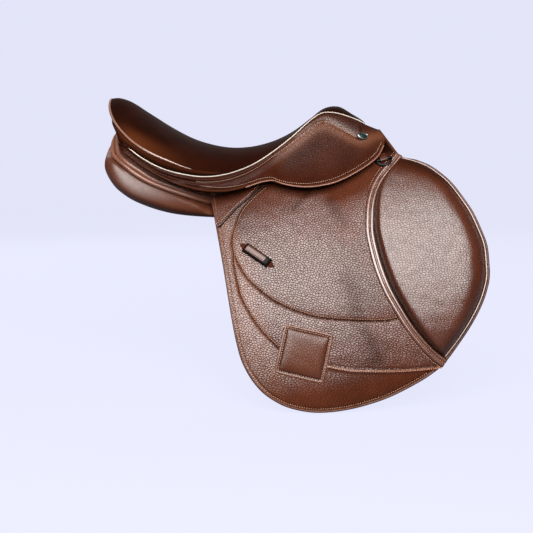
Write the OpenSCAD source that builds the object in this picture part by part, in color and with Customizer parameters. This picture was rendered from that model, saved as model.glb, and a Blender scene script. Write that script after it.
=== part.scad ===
// Jumping saddle: sprung tree, foamed seat, panels, lifting skirts and flaps, knee blocks,
// stirrup bars, girth straps and dees.
// +X points to the horse's head, +Y to its left and +Z up. The origin lies on the centre plane,
// level with the underside of the panels behind the girth.

/* [Seat] */
// Origin to the top of the cantle rim
cantle_reach = 250; // [240:1:260]
// Origin to the front edge of the seat
pommel_reach = 178; // [172:1:186]
// Height of the cantle rim
cantle_h = 202; // [195:1:212]
// Height of the lowest point of the seat
dip_h = 111; // [107:1:116]
// Height of the pommel
pommel_h = 187; // [182:1:194]
// Width of the seat at its widest, behind the dip
seat_w = 264; // [254:1:276]
// Width of the seat at the pommel
twist_w = 102; // [98:1:108]
// Thickness of the seat leather
cover_t = 2.5; // [2:0.1:3]
// Depth of the foam on the centre line
foam_depth = 26; // [22:1:30]
// Diameter of the piping round the seat
welt_d = 5; // [4:0.5:6]

/* [Tree] */
// Thickness of the tree's shell
tree_t = 9; // [7:0.5:11]
// Outer radius of the head's arch
head_r = 50; // [47:1:53]
// Slope of the head's points from upright
head_slope = 16; // [12:1:20]
// Length of the head along the horse
head_l = 50; // [44:1:56]
// Height of the lower end of the points
point_h = 55; // [50:1:60]
// Thickness of the steel gullet plate
gullet_plate_t = 4.5; // [3:0.5:6]
// Width of a seat web
web_w = 38; // [30:1:44]
// Thickness of the webbing
web_t = 1.4; // [1:0.1:1.8]

/* [Panels] */
// Width of the gullet between the panels
gullet_w = 64; // [56:1:72]
// Height of the panel's cushion behind the girth
panel_h = 56; // [50:1:62]

/* [Skirts] */
// Thickness of the skirt leather
skirt_t = 4; // [3:0.25:4.5]
// How far the lobe hangs below its fold
lobe_drop = 52; // [46:1:56]
// Diameter of the stud on the pommel
stud_d = 15; // [12:1:18]

/* [Flaps] */
// Thickness of the flap leather
flap_t = 5; // [4:0.25:5.5]
// Length of the flap below its fold
flap_l = 347; // [330:1:360]
// Half the width of the saddle at the flap's fold
fold_half_w = 118; // [116:1:124]
// Height of the flap's fold at the girth
fold_h = 38; // [34:1:40]
// Radius of the flap's curve
flap_r = 690; // [640:10:740]
// Length of the keeper for the stirrup leather
keeper_l = 53; // [46:1:60]
// Width of the keeper
keeper_w = 11; // [9:0.5:14]
// Side of the square guard
guard_w = 70; // [60:1:78]
// Thickness of the square guard
guard_t = 3.5; // [2.5:0.25:4.5]
// Crown of the knee block
block_crown = 34; // [28:1:40]

/* [Girth] */
// Thickness of the sweat flap
sweat_t = 4; // [3:0.25:5]
// Room between the flap and the sweat flap
girth_room = 10; // [9.5:0.25:12]
// Width of a girth strap
strap_w = 26; // [22:1:30]
// Thickness of a girth strap
strap_t = 4; // [3.5:0.25:4.5]
// Length of a girth strap below its rivet
strap_l = 290; // [260:5:310]
// Diameter of a girth hole
hole_d = 5; // [4:0.25:6]
// Distance from one girth hole to the next
hole_pitch = 25; // [20:1:28]
// Holes in a girth strap
hole_count = 8; // [5:1:9]

/* [Metalwork] */
// Length of the stirrup bar
bar_l = 83; // [78:1:86]
// Height of the stirrup bar
bar_h = 16; // [14:0.5:18]
// Thickness of the stirrup bar
bar_t = 7; // [6:0.25:8]
// Gap behind the bar for the stirrup leather
bar_gap = 13; // [11:0.5:14]
// Thickness of the bar's plate
plate_t = 4; // [3:0.25:4.5]
// Diameter of the rivets
rivet_d = 5; // [4:0.25:6]
// Diameter of the dee's wire
dee_wire = 3.8; // [3:0.2:4.4]
// Width inside the dee
dee_w = 20; // [18:1:24]

/* [Fits] */
// Gap between pieces that lie on each other
gap = 0.4; // [0.3:0.05:0.5]
// Radial clearance of a turning fit
running = 0.06; // [0.03:0.01:0.1]

/* [Hidden] */
$fn = 48;

havana = [0.30, 0.17, 0.12];
seat_brown = [0.20, 0.10, 0.07];
cream = [0.80, 0.66, 0.48];
steel = [0.70, 0.70, 0.71];
brass = [0.66, 0.58, 0.36];
foam_tint = [0.85, 0.80, 0.62];
web_tint = [0.75, 0.73, 0.68];
tree_tint = [0.16, 0.16, 0.17];

// Smooth curve through the points, at s counted in points
function pick(p, i) = p[max(0, min(i, len(p) - 1))];
function curve(p, s) =
    let (i = min(floor(s), len(p) - 2), t = s - i)
    let (a = pick(p, i - 1), b = pick(p, i), c = pick(p, i + 1), d = pick(p, i + 2))
    b + t * (c - a) / 2 + t * t * (a - 2.5 * b + 2 * c - d / 2) + t * t * t * (1.5 * (b - c) + (d - a) / 2);
function smooth(p, steps) = [for (s = [0 : 1 / steps : len(p) - 1 + 0.001]) curve(p, min(s, len(p) - 1))];

// Smooth graph through [x, value] pairs that rise in x
function span(p, x, i = 0) = i >= len(p) - 2 || x < p[i + 1][0] ? i : span(p, x, i + 1);
function grade(p, i) =
    let (a = pick(p, i - 1), b = pick(p, i + 1)) (b[1] - a[1]) / (b[0] - a[0]);
function graph(p, x) =
    let (q = max(p[0][0], min(x, p[len(p) - 1][0])), i = span(p, q), h = p[i + 1][0] - p[i][0])
    let (t = (q - p[i][0]) / h, u = 1 - t)
    p[i][1] * (1 + 2 * t) * u * u + p[i + 1][1] * (3 - 2 * t) * t * t
        + h * t * u * (grade(p, i) * u - grade(p, i + 1) * t);

function unit(a) = a / norm(a);
function mix(a, b, t) = a + (b - a) * t;
function rot_x(a) = [[1, 0, 0], [0, cos(a), -sin(a)], [0, sin(a), cos(a)]];
function rot_y(a) = [[cos(a), 0, sin(a)], [0, 1, 0], [-sin(a), 0, cos(a)]];
function rot_z(a) = [[cos(a), -sin(a), 0], [sin(a), cos(a), 0], [0, 0, 1]];
function column(m, i) = [for (row = m) row[i]];
function reversed(p) = [for (i = [len(p) - 1 : -1 : 0]) p[i]];

// Skin over a row of closed rings that all have the same even number of points
function skin_faces(m, n) = concat(
    [for (k = [0 : n / 2 - 2]) each [[k, n - 1 - k, k + 1], [k + 1, n - 1 - k, n - 2 - k]]],
    [for (i = [0 : m - 2], k = [0 : n - 1])
        let (a = i * n + k, b = i * n + (k + 1) % n) each [[a, b, a + n], [b, b + n, a + n]]],
    [for (k = [0 : n / 2 - 2])
        let (o = (m - 1) * n, e = o + n - 1 - k) each [[o + k, o + k + 1, e], [o + k + 1, e - 1, e]]]
);
module loft(rings) {
    polyhedron([for (r = rings) each r], skin_faces(len(rings), len(rings[0])));
}

// Round tube along a path, with its rings square to the path
function tube_ring(path, i, r, sides) =
    let (t = unit(pick(path, i + 1) - pick(path, i - 1)), a = unit(cross(t, [0.3, 0.1, 1])), b = cross(t, a))
    [for (k = [0 : sides - 1]) path[i] + r * (a * cos(360 * k / sides) - b * sin(360 * k / sides))];
module tube(path, r, sides = 8) loft([for (i = [0 : len(path) - 1]) tube_ring(path, i, r, sides)]);

// Seat: each row runs across the saddle, from the cantle's back seam to the front of the pommel
half_w = seat_w / 2;
half_twist = twist_w / 2;
cantle_rise = cantle_h - dip_h;
pommel_rise = pommel_h - dip_h;
seat_mid = [
    [-cantle_reach - 4, cantle_h - 36],
    [-cantle_reach - 12, cantle_h - 15],
    [-cantle_reach, cantle_h],
    [-0.90 * cantle_reach, dip_h + 0.92 * cantle_rise],
    [-0.76 * cantle_reach, dip_h + 0.68 * cantle_rise],
    [-0.60 * cantle_reach, dip_h + 0.38 * cantle_rise],
    [-0.42 * cantle_reach, dip_h + 0.13 * cantle_rise],
    [-0.24 * cantle_reach, dip_h],
    [-0.08 * cantle_reach, dip_h + 0.03 * pommel_rise],
    [0.11 * pommel_reach, dip_h + 0.18 * pommel_rise],
    [0.31 * pommel_reach, dip_h + 0.41 * pommel_rise],
    [0.48 * pommel_reach, dip_h + 0.66 * pommel_rise],
    [0.62 * pommel_reach, dip_h + 0.89 * pommel_rise],
    [0.76 * pommel_reach, pommel_h],
    [0.89 * pommel_reach, pommel_h - 6],
    [0.965 * pommel_reach, pommel_h - 19],
    [pommel_reach, pommel_h - 29]
];
seat_edge = [
    [-0.896 * cantle_reach, 0.85 * half_w, dip_h + 15],
    [-0.872 * cantle_reach, 0.886 * half_w, dip_h + 11],
    [-0.82 * cantle_reach, 0.917 * half_w, dip_h + 1],
    [-0.74 * cantle_reach, 0.962 * half_w, dip_h - 13],
    [-0.62 * cantle_reach, 0.992 * half_w, dip_h - 28],
    [-0.488 * cantle_reach, half_w, dip_h - 37],
    [-0.348 * cantle_reach, 0.955 * half_w, dip_h - 41],
    [-0.2 * cantle_reach, 0.871 * half_w, dip_h - 36],
    [-0.05 * cantle_reach, 0.773 * half_w, dip_h - 22],
    [0.124 * pommel_reach, 1.765 * half_twist, dip_h - 1],
    [0.31 * pommel_reach, 1.51 * half_twist, dip_h + 25],
    [0.472 * pommel_reach, 1.275 * half_twist, pommel_h - 25],
    [0.596 * pommel_reach, 1.08 * half_twist, pommel_h - 12],
    [0.73 * pommel_reach, half_twist, pommel_h - 13],
    [0.843 * pommel_reach, half_twist, pommel_h - 19],
    [0.927 * pommel_reach, half_twist, pommel_h - 25],
    [0.989 * pommel_reach, 0.98 * half_twist, pommel_h - 31]
];
last_row = len(seat_mid) - 1;
across = [0, 0.25, 0.5, 0.7, 0.84, 0.93, 1];
full_across = concat([for (i = [6 : -1 : 1]) -across[i]], across);
// The crown falls gently over most of the width and rolls down at the edge
edge_roll = 0.2;
// Power that rounds the cantle in plan
plan_round = 2.6;
function crown_fall(k) = (1 - edge_roll) * pow(k, 2.2) + edge_roll * pow(k, 10);
function seat_pt(s, t) =
    let (m = curve(seat_mid, s), e = curve(seat_edge, s), k = abs(t))
    [mix(m.x, e.x, pow(k, plan_round)), e.y * t, mix(m.y, e.z, crown_fall(k))];
probe = 0.02;
function seat_normal(s, t) =
    let (a = max(0, s - probe), b = min(last_row, s + probe))
    let (right = seat_pt(s, max(-1, t - probe)), left = seat_pt(s, min(1, t + probe)))
    unit(cross(seat_pt(b, t) - seat_pt(a, t), left - right));
function seat_inner(s, t, depth) = seat_pt(s, t) - depth * seat_normal(s, t);

// Upper face of the tree, under the foam
tree_crest = [for (i = [2 : last_row]) [seat_mid[i].x, seat_mid[i].y - cover_t - foam_depth]];
tree_fall = [
    [-cantle_reach, 44], [-0.82 * cantle_reach, 35], [-0.62 * cantle_reach, 27], [-0.35 * cantle_reach, 23],
    [-0.08 * cantle_reach, 18], [0.31 * pommel_reach, 13], [pommel_reach, 15]
];
function tree_top(x, y) = graph(tree_crest, x) - graph(tree_fall, x) * pow(y / 100, 2);

// Flap: part of a cylinder that hangs from a sloping fold
fold_x = 75;
fold_tilt = 16;
fold_yaw = 5;
flap_lean = 20;
flap_half = 15;
fold = [fold_x, -fold_half_w, fold_h];
flap_chord = 2 * flap_r * sin(flap_half);
flap_axis = [0, -flap_chord / 2, -flap_r * cos(flap_half)];
flap_m = rot_z(fold_yaw) * rot_y(-fold_tilt) * rot_x(90 - flap_lean);
module flap_frame() {
    translate(fold) rotate([0, 0, fold_yaw]) rotate([0, -fold_tilt, 0])
        rotate([90 - flap_lean, 0, 0]) children();
}
function flap_turn(v) = asin((v - flap_chord / 2) / flap_r);
module on_flap(u, v) {
    flap_frame() translate([u, 0, 0] + flap_axis) rotate([flap_turn(v), 0, 0])
        translate([0, 0, flap_r]) children();
}
// Height of the flap's outer face above the chord, v below the fold
function flap_rise(v) = sqrt(flap_r * flap_r - pow(v - flap_chord / 2, 2)) + flap_axis.z;
// Place of the cylinder that lies depth inside the flap's outer face, at x and z, on the right side
function flap_y(x, z, depth) =
    let (a = column(flap_m, 1), b = column(flap_m, 2), dx = x - fold.x, dz = z - fold.z)
    let (p = a.x * dx + a.z * dz - flap_axis.y, q = b.x * dx + b.z * dz - flap_axis.z)
    let (k2 = a.y * a.y + b.y * b.y, k1 = p * a.y + q * b.y)
    let (k0 = p * p + q * q - pow(flap_r - depth, 2))
    fold.y + (-k1 - sqrt(k1 * k1 - k2 * k0)) / k2;
// Bent sheet: part of a tube about axis, from depth inside radius r, cut to an outline in u across and v down
module bent_sheet(axis, r, depth, t) {
    intersection() {
        translate(axis + [-400, 0, 0]) rotate([0, 90, 0]) difference() {
            cylinder(h = 800, r = r - depth, $fn = 180);
            translate([0, 0, -1]) cylinder(h = 802, r = r - depth - t, $fn = 180);
        }
        translate([0, 0, -80]) linear_extrude(140) mirror([0, 1, 0]) children();
    }
}
module flap_sheet(depth, t) flap_frame() bent_sheet(flap_axis, flap_r, depth, t) children();
module outline(p, steps = 5) polygon(smooth(p, steps));

// Fold of the flap: a round bead on the flap under the cut edge of the fixed part
bead_r = flap_t / 2;
bead_v = bead_r * sin(flap_half);
bead_w = -bead_r * cos(flap_half);
fold_front = 194;
fold_back = -152;

// Layers inside the flap
girth_web_depth = flap_t + 2;
strap_depth = girth_web_depth + web_t + 0.2;
sweat_depth = flap_t + girth_room;
sweat_inner = sweat_depth + sweat_t + gap;
tree_limit = girth_web_depth + web_t + gap;

// Tree: shell under the seat with an open middle, and the head's arch
tree_back = seat_edge[0].x;
tree_share = 0.84;
edge_graph = [for (e = seat_edge) [e.x, tree_share * e.y]];
function tree_half(x) =
    min(graph(edge_graph, x), -flap_y(x, tree_top(x, graph(edge_graph, x)) - tree_t / 2, tree_limit));
head_front = 0.91 * pommel_reach;
head_back = head_front - head_l;
head_c = tree_top(head_back, 0) - head_r;
head_t = tree_t;

arch_steps = 30;
module arch(r) {
    low = point_h - 2;
    reach = r * cos(head_slope) + (head_c + r * sin(head_slope) - low) * tan(head_slope);
    polygon(concat(
        [[-reach, low], [reach, low]],
        [for (i = [0 : arch_steps]) let (a = mix(head_slope, 180 - head_slope, i / arch_steps))
            [r * cos(a), head_c + r * sin(a)]]));
}
module arch_band(r_out, r_in, low) {
    difference() {
        arch(r_out);
        arch(r_in);
        translate([-200, low - 200]) square([400, 200]);
    }
}
module along_x(x, l) translate([x, 0, 0]) rotate([90, 0, 90]) linear_extrude(l) children();

// Frame on the outer face of the right point: x along the saddle, y up the point, z outwards
module point_frame() {
    translate([0, -head_r * cos(head_slope), head_c + head_r * sin(head_slope)])
        rotate([90 - head_slope, 0, 0]) children();
}
module both_sides() {
    children();
    mirror([0, 1, 0]) children();
}
// The bar sits a set way above the lower end of the point
bar_up = 26;
point_l = (head_c + head_r * sin(head_slope) - point_h) / cos(head_slope);
bar_y = bar_up - point_l;
bar_front = head_front;
bar_back = bar_front - bar_l;
plate_back = head_back - 12;
bar_z = gap + plate_t + bar_gap;
rivet_xs = [head_back + 8, head_back + 29];
rivet_head = 1.5;
module point_rivets(r, head_r, low, high) {
    point_frame() for (x = rivet_xs) translate([x, bar_y + bar_h / 2, low]) {
        cylinder(h = high - low, r = r);
        if (head_r > 0) {
            translate([0, 0, -rivet_head]) cylinder(h = rivet_head, r = head_r);
            translate([0, 0, high - low]) cylinder(h = rivet_head, r = head_r);
        }
    }
}
plate_inner = -head_t - gap - gullet_plate_t;
rivet_r = rivet_d / 2;
module point_holes() both_sides() point_rivets(rivet_r + running, 0, -40, 12);

open_r = 42;
open_back = -120;
open_front = 0;
module tree() color(tree_tint) difference() {
    union() {
        difference() {
            loft([for (i = [0 : 24]) let (x = mix(tree_back, head_front, i / 24), h = tree_half(x))
                concat(
                    [for (k = [-4 : 4]) [x, h * k / 4, tree_top(x, h * k / 4)]],
                    [for (k = [4 : -1 : -4]) [x, h * k / 4, tree_top(x, h * k / 4) - tree_t]])]);
            for (x = [open_back, open_front]) translate([x, 0, 0]) cylinder(h = 300, r = open_r);
            translate([open_back, -open_r, 0]) cube([open_front - open_back, 2 * open_r, 300]);
        }
        along_x(head_back, head_l) arch_band(head_r, head_r - head_t, point_h);
    }
    point_holes();
}

module gullet_plate() color(steel) difference() {
    r = head_r - head_t - gap;
    along_x(head_back + 4, head_l - 8) arch_band(r, r - gullet_plate_t, point_h + 4);
    point_holes();
}
module head_rivets() color(steel) both_sides()
    point_rivets(rivet_r, rivet_r + 2, plate_inner - 0.1, gap + plate_t + 0.1);

// Webs that span the tree's open middle
function web_along(x, y, lift) = concat(
    [for (k = [-1, 0, 1]) let (q = y + k * web_w / 2) [x, q, tree_top(x, q) + lift + web_t]],
    [for (k = [1, 0, -1]) let (q = y + k * web_w / 2) [x, q, tree_top(x, q) + lift]]);
function web_across(x, y, lift) = concat(
    [for (k = [1, 0, -1]) let (q = x + k * web_w / 2) [q, y, tree_top(q, y) + lift + web_t]],
    [for (k = [-1, 0, 1]) let (q = x + k * web_w / 2) [q, y, tree_top(q, y) + lift]]);
web_gap = 0.5;
web_slack = 0.8;
foam_gap = 3 * web_gap + 2 * web_t + web_slack;
module seat_webs() color(web_tint) {
    for (y = [-web_w / 2 - 6, web_w / 2 + 6])
        loft([for (i = [0 : 16]) web_along(mix(open_back - 70, open_front + 70, i / 16), y, web_gap)]);
    for (x = [open_back + 20, open_front - 20])
        loft([for (i = [0 : 8]) web_across(x, mix(-62, 62, i / 8), 2 * web_gap + web_t)]);
}

// Foam and leather of the seat
foam_share = 0.965;
foam_edge = 2.5;
foam_room = gap + 0.3;
module seat_foam() color(foam_tint) loft([for (i = [4 : 29])
    let (s = last_row * i / 32)
    let (depth = cover_t + foam_room)
    let (top = [for (t = full_across)
        abs(t) == 1 ? seat_inner(s, t * foam_share, depth + foam_edge) : seat_inner(s, t, depth)])
    concat(top, [for (p = reversed(top)) [p.x, p.y, min(p.z - 2, tree_top(p.x, p.y) + foam_gap)]])]);
module seat_cover() color(seat_brown) loft([for (i = [0 : 32])
    let (s = last_row * i / 32)
    concat(
        [for (t = full_across) seat_pt(s, t)],
        [for (t = reversed(full_across)) seat_inner(s, t, cover_t)])]);

// Skirt: hangs from the seat's edge, and its front lobe lifts on a straight fold
lobe_back = [4, -fold_half_w - 2, dip_h - 50];
lobe_front = [pommel_reach + 22, -half_twist - 19, pommel_h - 50];
skirt_drops = [15, 16, 15, 15, 20, 28, 32, 38, 34];
skirt_flare = unit([4, -9, -18]);
function right_edge(s) = let (e = curve(seat_edge, s)) [e.x, -e.y, e.z];
lobe_dir = unit(lobe_front - lobe_back);
function lobe_at(x) = lobe_back + (x - lobe_back.x) / lobe_dir.x * lobe_dir;
skirt_top_pts = concat([for (i = [0 : last_row]) right_edge(i)], [lobe_front + [0, 14, 8]]);
skirt_low_pts = concat(
    [for (i = [0 : 8]) right_edge(i) + skirt_drops[i] * skirt_flare],
    [for (i = [9 : last_row]) lobe_at(right_edge(i).x)],
    [lobe_front]);
lobe_bead = skirt_t / 2;
fold_gap = lobe_bead + 2 * gap;
// Room at the piping for the turned edges of the seat and of the skirt
seat_turn = cover_t + 3 * gap;
skirt_turn = 1.6;
function skirt_dir(s) = unit(curve(skirt_low_pts, s) - curve(skirt_top_pts, s));
function skirt_high(s) = curve(skirt_top_pts, s) + (welt_d + 2 * gap + seat_turn + skirt_turn) * skirt_dir(s);
function skirt_low(s) = curve(skirt_low_pts, s) - (s > 8 ? fold_gap : 0) * skirt_dir(s);
function skirt_out(s) =
    let (a = skirt_high(max(0, s - 0.1)), b = skirt_high(min(last_row + 1, s + 0.1)))
    unit(cross(skirt_dir(s), b - a));
skirt_bulge = 2;
function skirt_pt(s, q, depth) =
    mix(skirt_high(s), skirt_low(s), q) + (skirt_bulge * 4 * q * (1 - q) - depth) * skirt_out(s);
stud_s = last_row - 0.1;
stud_q = 0.5;
stud_hole = 4;
stud_seat = 1.6;
stud_h = 3.5;
stud_shank = 3;
stud_play = 0.2;
module toward(p, n) translate(p) rotate([0, acos(n.z), atan2(n.y, n.x)]) children();
module stud_frame() toward(skirt_pt(stud_s, stud_q, 0), skirt_out(stud_s)) children();
module skirt() color(havana) difference() {
    loft([for (i = [0 : 34]) let (s = (last_row + 1) * i / 34)
        concat(
            [for (q = [0 : 0.25 : 1]) skirt_pt(s, q, skirt_t)],
            [for (q = [1 : -0.25 : 0]) skirt_pt(s, q, 0)])]);
    stud_frame() translate([0, 0, -skirt_t - 6]) cylinder(h = skirt_t + 12, r = stud_hole / 2);
}
module stud() stud_frame() {
    translate([0, 0, stud_seat]) intersection() {
        translate([0, 0, stud_h - stud_d]) sphere(r = stud_d);
        cylinder(h = 10, r = stud_d / 2);
    }
    translate([0, 0, -skirt_t - stud_shank])
        cylinder(h = skirt_t + stud_shank + stud_seat, r = stud_hole / 2 - stud_play);
}
module pommel_studs() color(brass) both_sides() stud();

// Front lobe of the skirt, which lifts to show the stirrup bar
lobe_yaw = atan2(lobe_dir.y, lobe_dir.x);
lobe_tilt = asin(lobe_dir.z);
lobe_lean = 37;
lobe_r = 160;
lobe_half = 12;
lobe_l = norm(lobe_front - lobe_back);
lobe_axis = [0, -lobe_r * sin(lobe_half), -lobe_r * cos(lobe_half)];
lobe_bead_v = lobe_bead * sin(lobe_half);
lobe_k = lobe_drop / 52;
lobe_edge = [
    [0, lobe_bead_v], [18, 10 * lobe_k], [38, 26 * lobe_k], [56, 46 * lobe_k], [80, 52 * lobe_k],
    [124, 50 * lobe_k], [168, 39 * lobe_k], [200, 27 * lobe_k], [lobe_l - 1, 12 * lobe_k],
    [lobe_l, lobe_bead_v]
];
module lobe_frame() {
    translate(lobe_back) rotate([0, 0, lobe_yaw]) rotate([0, -lobe_tilt, 0])
        rotate([90 - lobe_lean, 0, 0]) children();
}
module skirt_lobe() color(havana) lobe_frame() {
    bent_sheet(lobe_axis, lobe_r, 0, skirt_t) outline(lobe_edge);
    translate([0, -lobe_bead_v, -lobe_bead * cos(lobe_half)]) rotate([0, 90, 0])
        cylinder(h = lobe_l, r = lobe_bead);
}

// Piping round the seat, from one side of the pommel round the cantle to the other
welt_down = welt_d / 2 + gap + seat_turn;
function welt_pt(s) = right_edge(s) + welt_down * skirt_dir(s);
function welt_back(t) = seat_pt(0, t) + welt_down * unit(mix([-0.7, 0, -1], skirt_dir(0), pow(abs(t), 10)));
function flip_y(p) = [p.x, -p.y, p.z];
welt_side = [for (i = [32 : -1 : 1]) welt_pt(last_row * i / 32)];
welt_path = concat(
    welt_side,
    [for (i = [0 : 6]) welt_back(full_across[i])],
    [for (i = [5 : -1 : 0]) flip_y(welt_back(full_across[i]))],
    [for (p = reversed(welt_side)) flip_y(p)]);
module seat_welt() color(cream) tube(welt_path, welt_d / 2, 6);

// Facing under the cantle's back seam, down to the panels
facing_t = 3;
facing_in = 9;
facing_side_drop = 8;
facing_back_drop = 26;
facing_rows_end = 4.2;
facing_rows = concat(
    [for (i = [10 : -1 : 1]) right_edge(facing_rows_end * i / 10)],
    [for (t = [-1 : 0.2 : -0.01]) seat_pt(0, t)],
    [seat_pt(0, 0)]);
function facing_ring(p) =
    let (n = unit([p.x + 90, p.y * 0.9, 0]), a = p - facing_in * n - [0, 0, 4])
    let (b = a - [0, 0, mix(facing_back_drop, facing_side_drop, min(1, pow(p.y / seat_edge[0].y, 2)))])
    [a, b, b - facing_t * n, a - facing_t * n];
facing_half = [for (p = facing_rows) facing_ring(p)];
module cantle_facing() color(havana) loft(concat(
    facing_half,
    [for (i = [len(facing_half) - 2 : -1 : 0]) [for (p = facing_half[i]) flip_y(p)]]));

module pommel_facing() color(havana)
    along_x(head_front + gap, facing_t)
        arch_band(head_r - 2, head_r - head_t - gullet_plate_t - 2, point_h - 1);

// Panel: a stuffed cushion each side of the gullet, shaped by the tree above and the sweat flap outside
panel_rows = [
    [-cantle_reach - 9, [72, 95, 12, 16, 0]],
    [-cantle_reach - 4, [73, 92, 31, 33, 4]],
    [-0.94 * cantle_reach, [75, 82, 40, 43, 8]],
    [-0.82 * cantle_reach, [76, 66, 43, 42, 12]],
    [-0.66 * cantle_reach, [77, 50, 44, 38, 15]],
    [-0.48 * cantle_reach, [78, 40, 44, 0.59 * panel_h, 18]],
    [-0.24 * cantle_reach, [78, 32, 45, 0.5 * panel_h, 22]],
    [0, [78, 30, 46, 0.48 * panel_h, 26]],
    [0.34 * pommel_reach, [78, 28, 50, 0.46 * panel_h, 34]],
    [0.67 * pommel_reach, [76, 22, 58, 0.43 * panel_h, 48]],
    [0.93 * pommel_reach, [74, 20, 56, 20, 56]],
    [1.08 * pommel_reach, [74, 22, 38, 13, 58]],
    [1.13 * pommel_reach, [74, 24, 14, 6, 58]]
];
panel_sides = 20;
squareness = 0.82;
function squash(c) = sign(c) * pow(abs(c), squareness);
// Presses v flat where it would pass the limit
function press(v, limit) = v < limit ? v : limit - 0.5 * exp((limit - v) / 8);
function panel_roof(x, y) =
    min(tree_top(x, y) - tree_t, x > head_back - 25 ? point_h - 1 : 1000) - gap;
flap_back_x = fold_x - 178;
panel_flare = 1.6;
function panel_side(x, z) =
    flap_y(max(x, flap_back_x), z, sweat_inner) - panel_flare * max(0, flap_back_x - x);
function panel_pt(x, row, a) =
    let (p = row[2] * squash(cos(a)), q = row[3] * squash(sin(a)), c = cos(row[4]), s = sin(row[4]))
    let (y = press(-row[0] - p * c - q * s, -gullet_w / 2))
    let (z = press(row[1] - p * s + q * c, panel_roof(x, y)))
    [x, max(y, panel_side(x, z)), z];
module panel() color(havana) loft([for (i = [0 : 4 * (len(panel_rows) - 1)])
    let (s = i / 4, x = curve([for (r = panel_rows) r[0]], s), row = curve([for (r = panel_rows) r[1]], s))
    [for (k = [0 : panel_sides - 1]) panel_pt(x, row, 360 * k / panel_sides)]]);

// Flap, its fixed top under the skirt and what is sewn on it
flap_k = flap_l / 347;
function drop(p) = [for (q = p) [q.x, q.y * flap_k]];
flap_edge = [
    [fold_back, bead_v], [-157, 48], [-165, 115], [-172, 177], [-174, 225], [-163, 272], [-136, 309],
    [-93, 334], [-39, 345], [23, 346], [92, 333], [127, 316], [178, 279], [215, 240], [237, 192],
    [243, 145], [240, 105], [227, 51], [206, 12], [fold_front, bead_v]
];
module flap() color(havana) {
    flap_sheet(0, flap_t) outline(drop(flap_edge));
    flap_frame() translate([fold_back, -bead_v, bead_w]) rotate([0, 90, 0])
        cylinder(h = fold_front - fold_back, r = bead_r);
}
top_low = bead_v - bead_r - gap;
// Upper edge of the fixed part: high behind and in front, and cut low to clear the stirrup bar
top_edge = [
    [fold_back, top_low], [-148, -45], [-120, -66], [-40, -62], [-22, -40], [45, -22], [88, -18], [108, -40],
    [125, -80], [152, -84], [166, -40], [174, top_low]
];
module flap_top() color(havana) flap_sheet(0, flap_t) outline(top_edge, 4);
tab_t = 1.6;
tab_edge = [[-62, -40], [-87, -24], [-114, -10], [-126, -4], [-150, -4], [-146, -44], [-66, -44]];
module flap_tab() color(havana) flap_sheet(-gap - tab_t, tab_t) polygon(tab_edge);

// Knee block: a padded lens in front of the double seam
block_rim = [
    [134, 8], [104, 38], [82, 85], [72, 150], [76, 215], [96, 270], [122, 312], [152, 291], [190, 259],
    [218, 224], [234, 178], [237, 130], [229, 76], [212, 34], [186, 9], [134, 8]
];
block_c = [155, 160];
block_levels = [
    [1, 0], [1, 0.15], [0.97, 0.3], [0.9, 0.52], [0.78, 0.74], [0.6, 0.9], [0.36, 0.98], [0.1, 1]
];
function on_sheet(p, h) = [p.x, -p.y, flap_rise(p.y) + gap + h];
function block_ring(pts, share, h) = [for (p = pts) on_sheet(mix(block_c, p, share), h)];
module knee_block() color(havana) {
    pts = [for (i = [40 : -1 : 1]) let (q = curve(block_rim, 15 * i / 40)) [q.x, q.y * flap_k]];
    flap_frame() loft(concat(
        [for (share = [0.1 : 0.225 : 0.8]) block_ring(pts, share, 0)],
        [for (l = block_levels) block_ring(pts, l[0], l[1] == 0 ? 0 : l[1] * block_crown)]));
}
// Raised seam between the flap and the knee block
seam_path = [[124, 9], [96, 38], [74, 85], [63, 150], [67, 217], [87, 274], [118, 322]];
seam_w = 7;
seam_t = 3;
function seam_ring(p, d) =
    let (n = [d.y, -d.x] * seam_w / 2, a = p - n, b = p + n)
    [on_sheet(a, 0), on_sheet(a, seam_t), on_sheet(b, seam_t), on_sheet(b, 0)];
module block_welt() color(havana) {
    path = drop(smooth(seam_path, 5));
    flap_frame() loft([for (i = [0 : len(path) - 1])
        seam_ring(path[i], unit(pick(path, i + 1) - pick(path, i - 1)))]);
}

// Keeper that holds the end of the stirrup leather
keeper_at = [-103, 80];
keeper_turn = -60;
keeper_t = 2.6;
keeper_room = 6;
module keeper() color(havana) {
    a = keeper_l / 2;
    h = keeper_room + keeper_t + gap;
    b = a - 7;
    on_flap(keeper_at.x, keeper_at.y * flap_k) rotate([0, 0, keeper_turn]) rotate([90, 0, 0])
        linear_extrude(keeper_w, center = true)
            polygon([[-a, gap], [-b, h], [b, h], [a, gap], [a - 6, gap], [b - keeper_t, h - keeper_t],
                [keeper_t - b, h - keeper_t], [6 - a, gap]]);
}

// Square guard, sewn low on the flap
guard_at = [-78, 247];
guard_turn = 32;
guard_round = 5;
module guard() color(havana) flap_sheet(-gap - guard_t, guard_t)
    translate([guard_at.x, guard_at.y * flap_k]) rotate(guard_turn) {
        square([guard_w - 2 * guard_round, guard_w], center = true);
        square([guard_w, guard_w - 2 * guard_round], center = true);
        for (i = [-1, 1], j = [-1, 1]) translate([i, j] * (guard_w / 2 - guard_round)) circle(guard_round);
    }

sweat_edge = [
    [-128, -8], [-138, 80], [-146, 180], [-138, 255], [-90, 312], [-20, 328], [45, 320], [95, 288],
    [126, 225], [138, 140], [136, 60], [112, 14], [60, -8]
];
module sweat_flap() color(havana) flap_sheet(sweat_depth, sweat_t) outline(sweat_edge);

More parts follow.
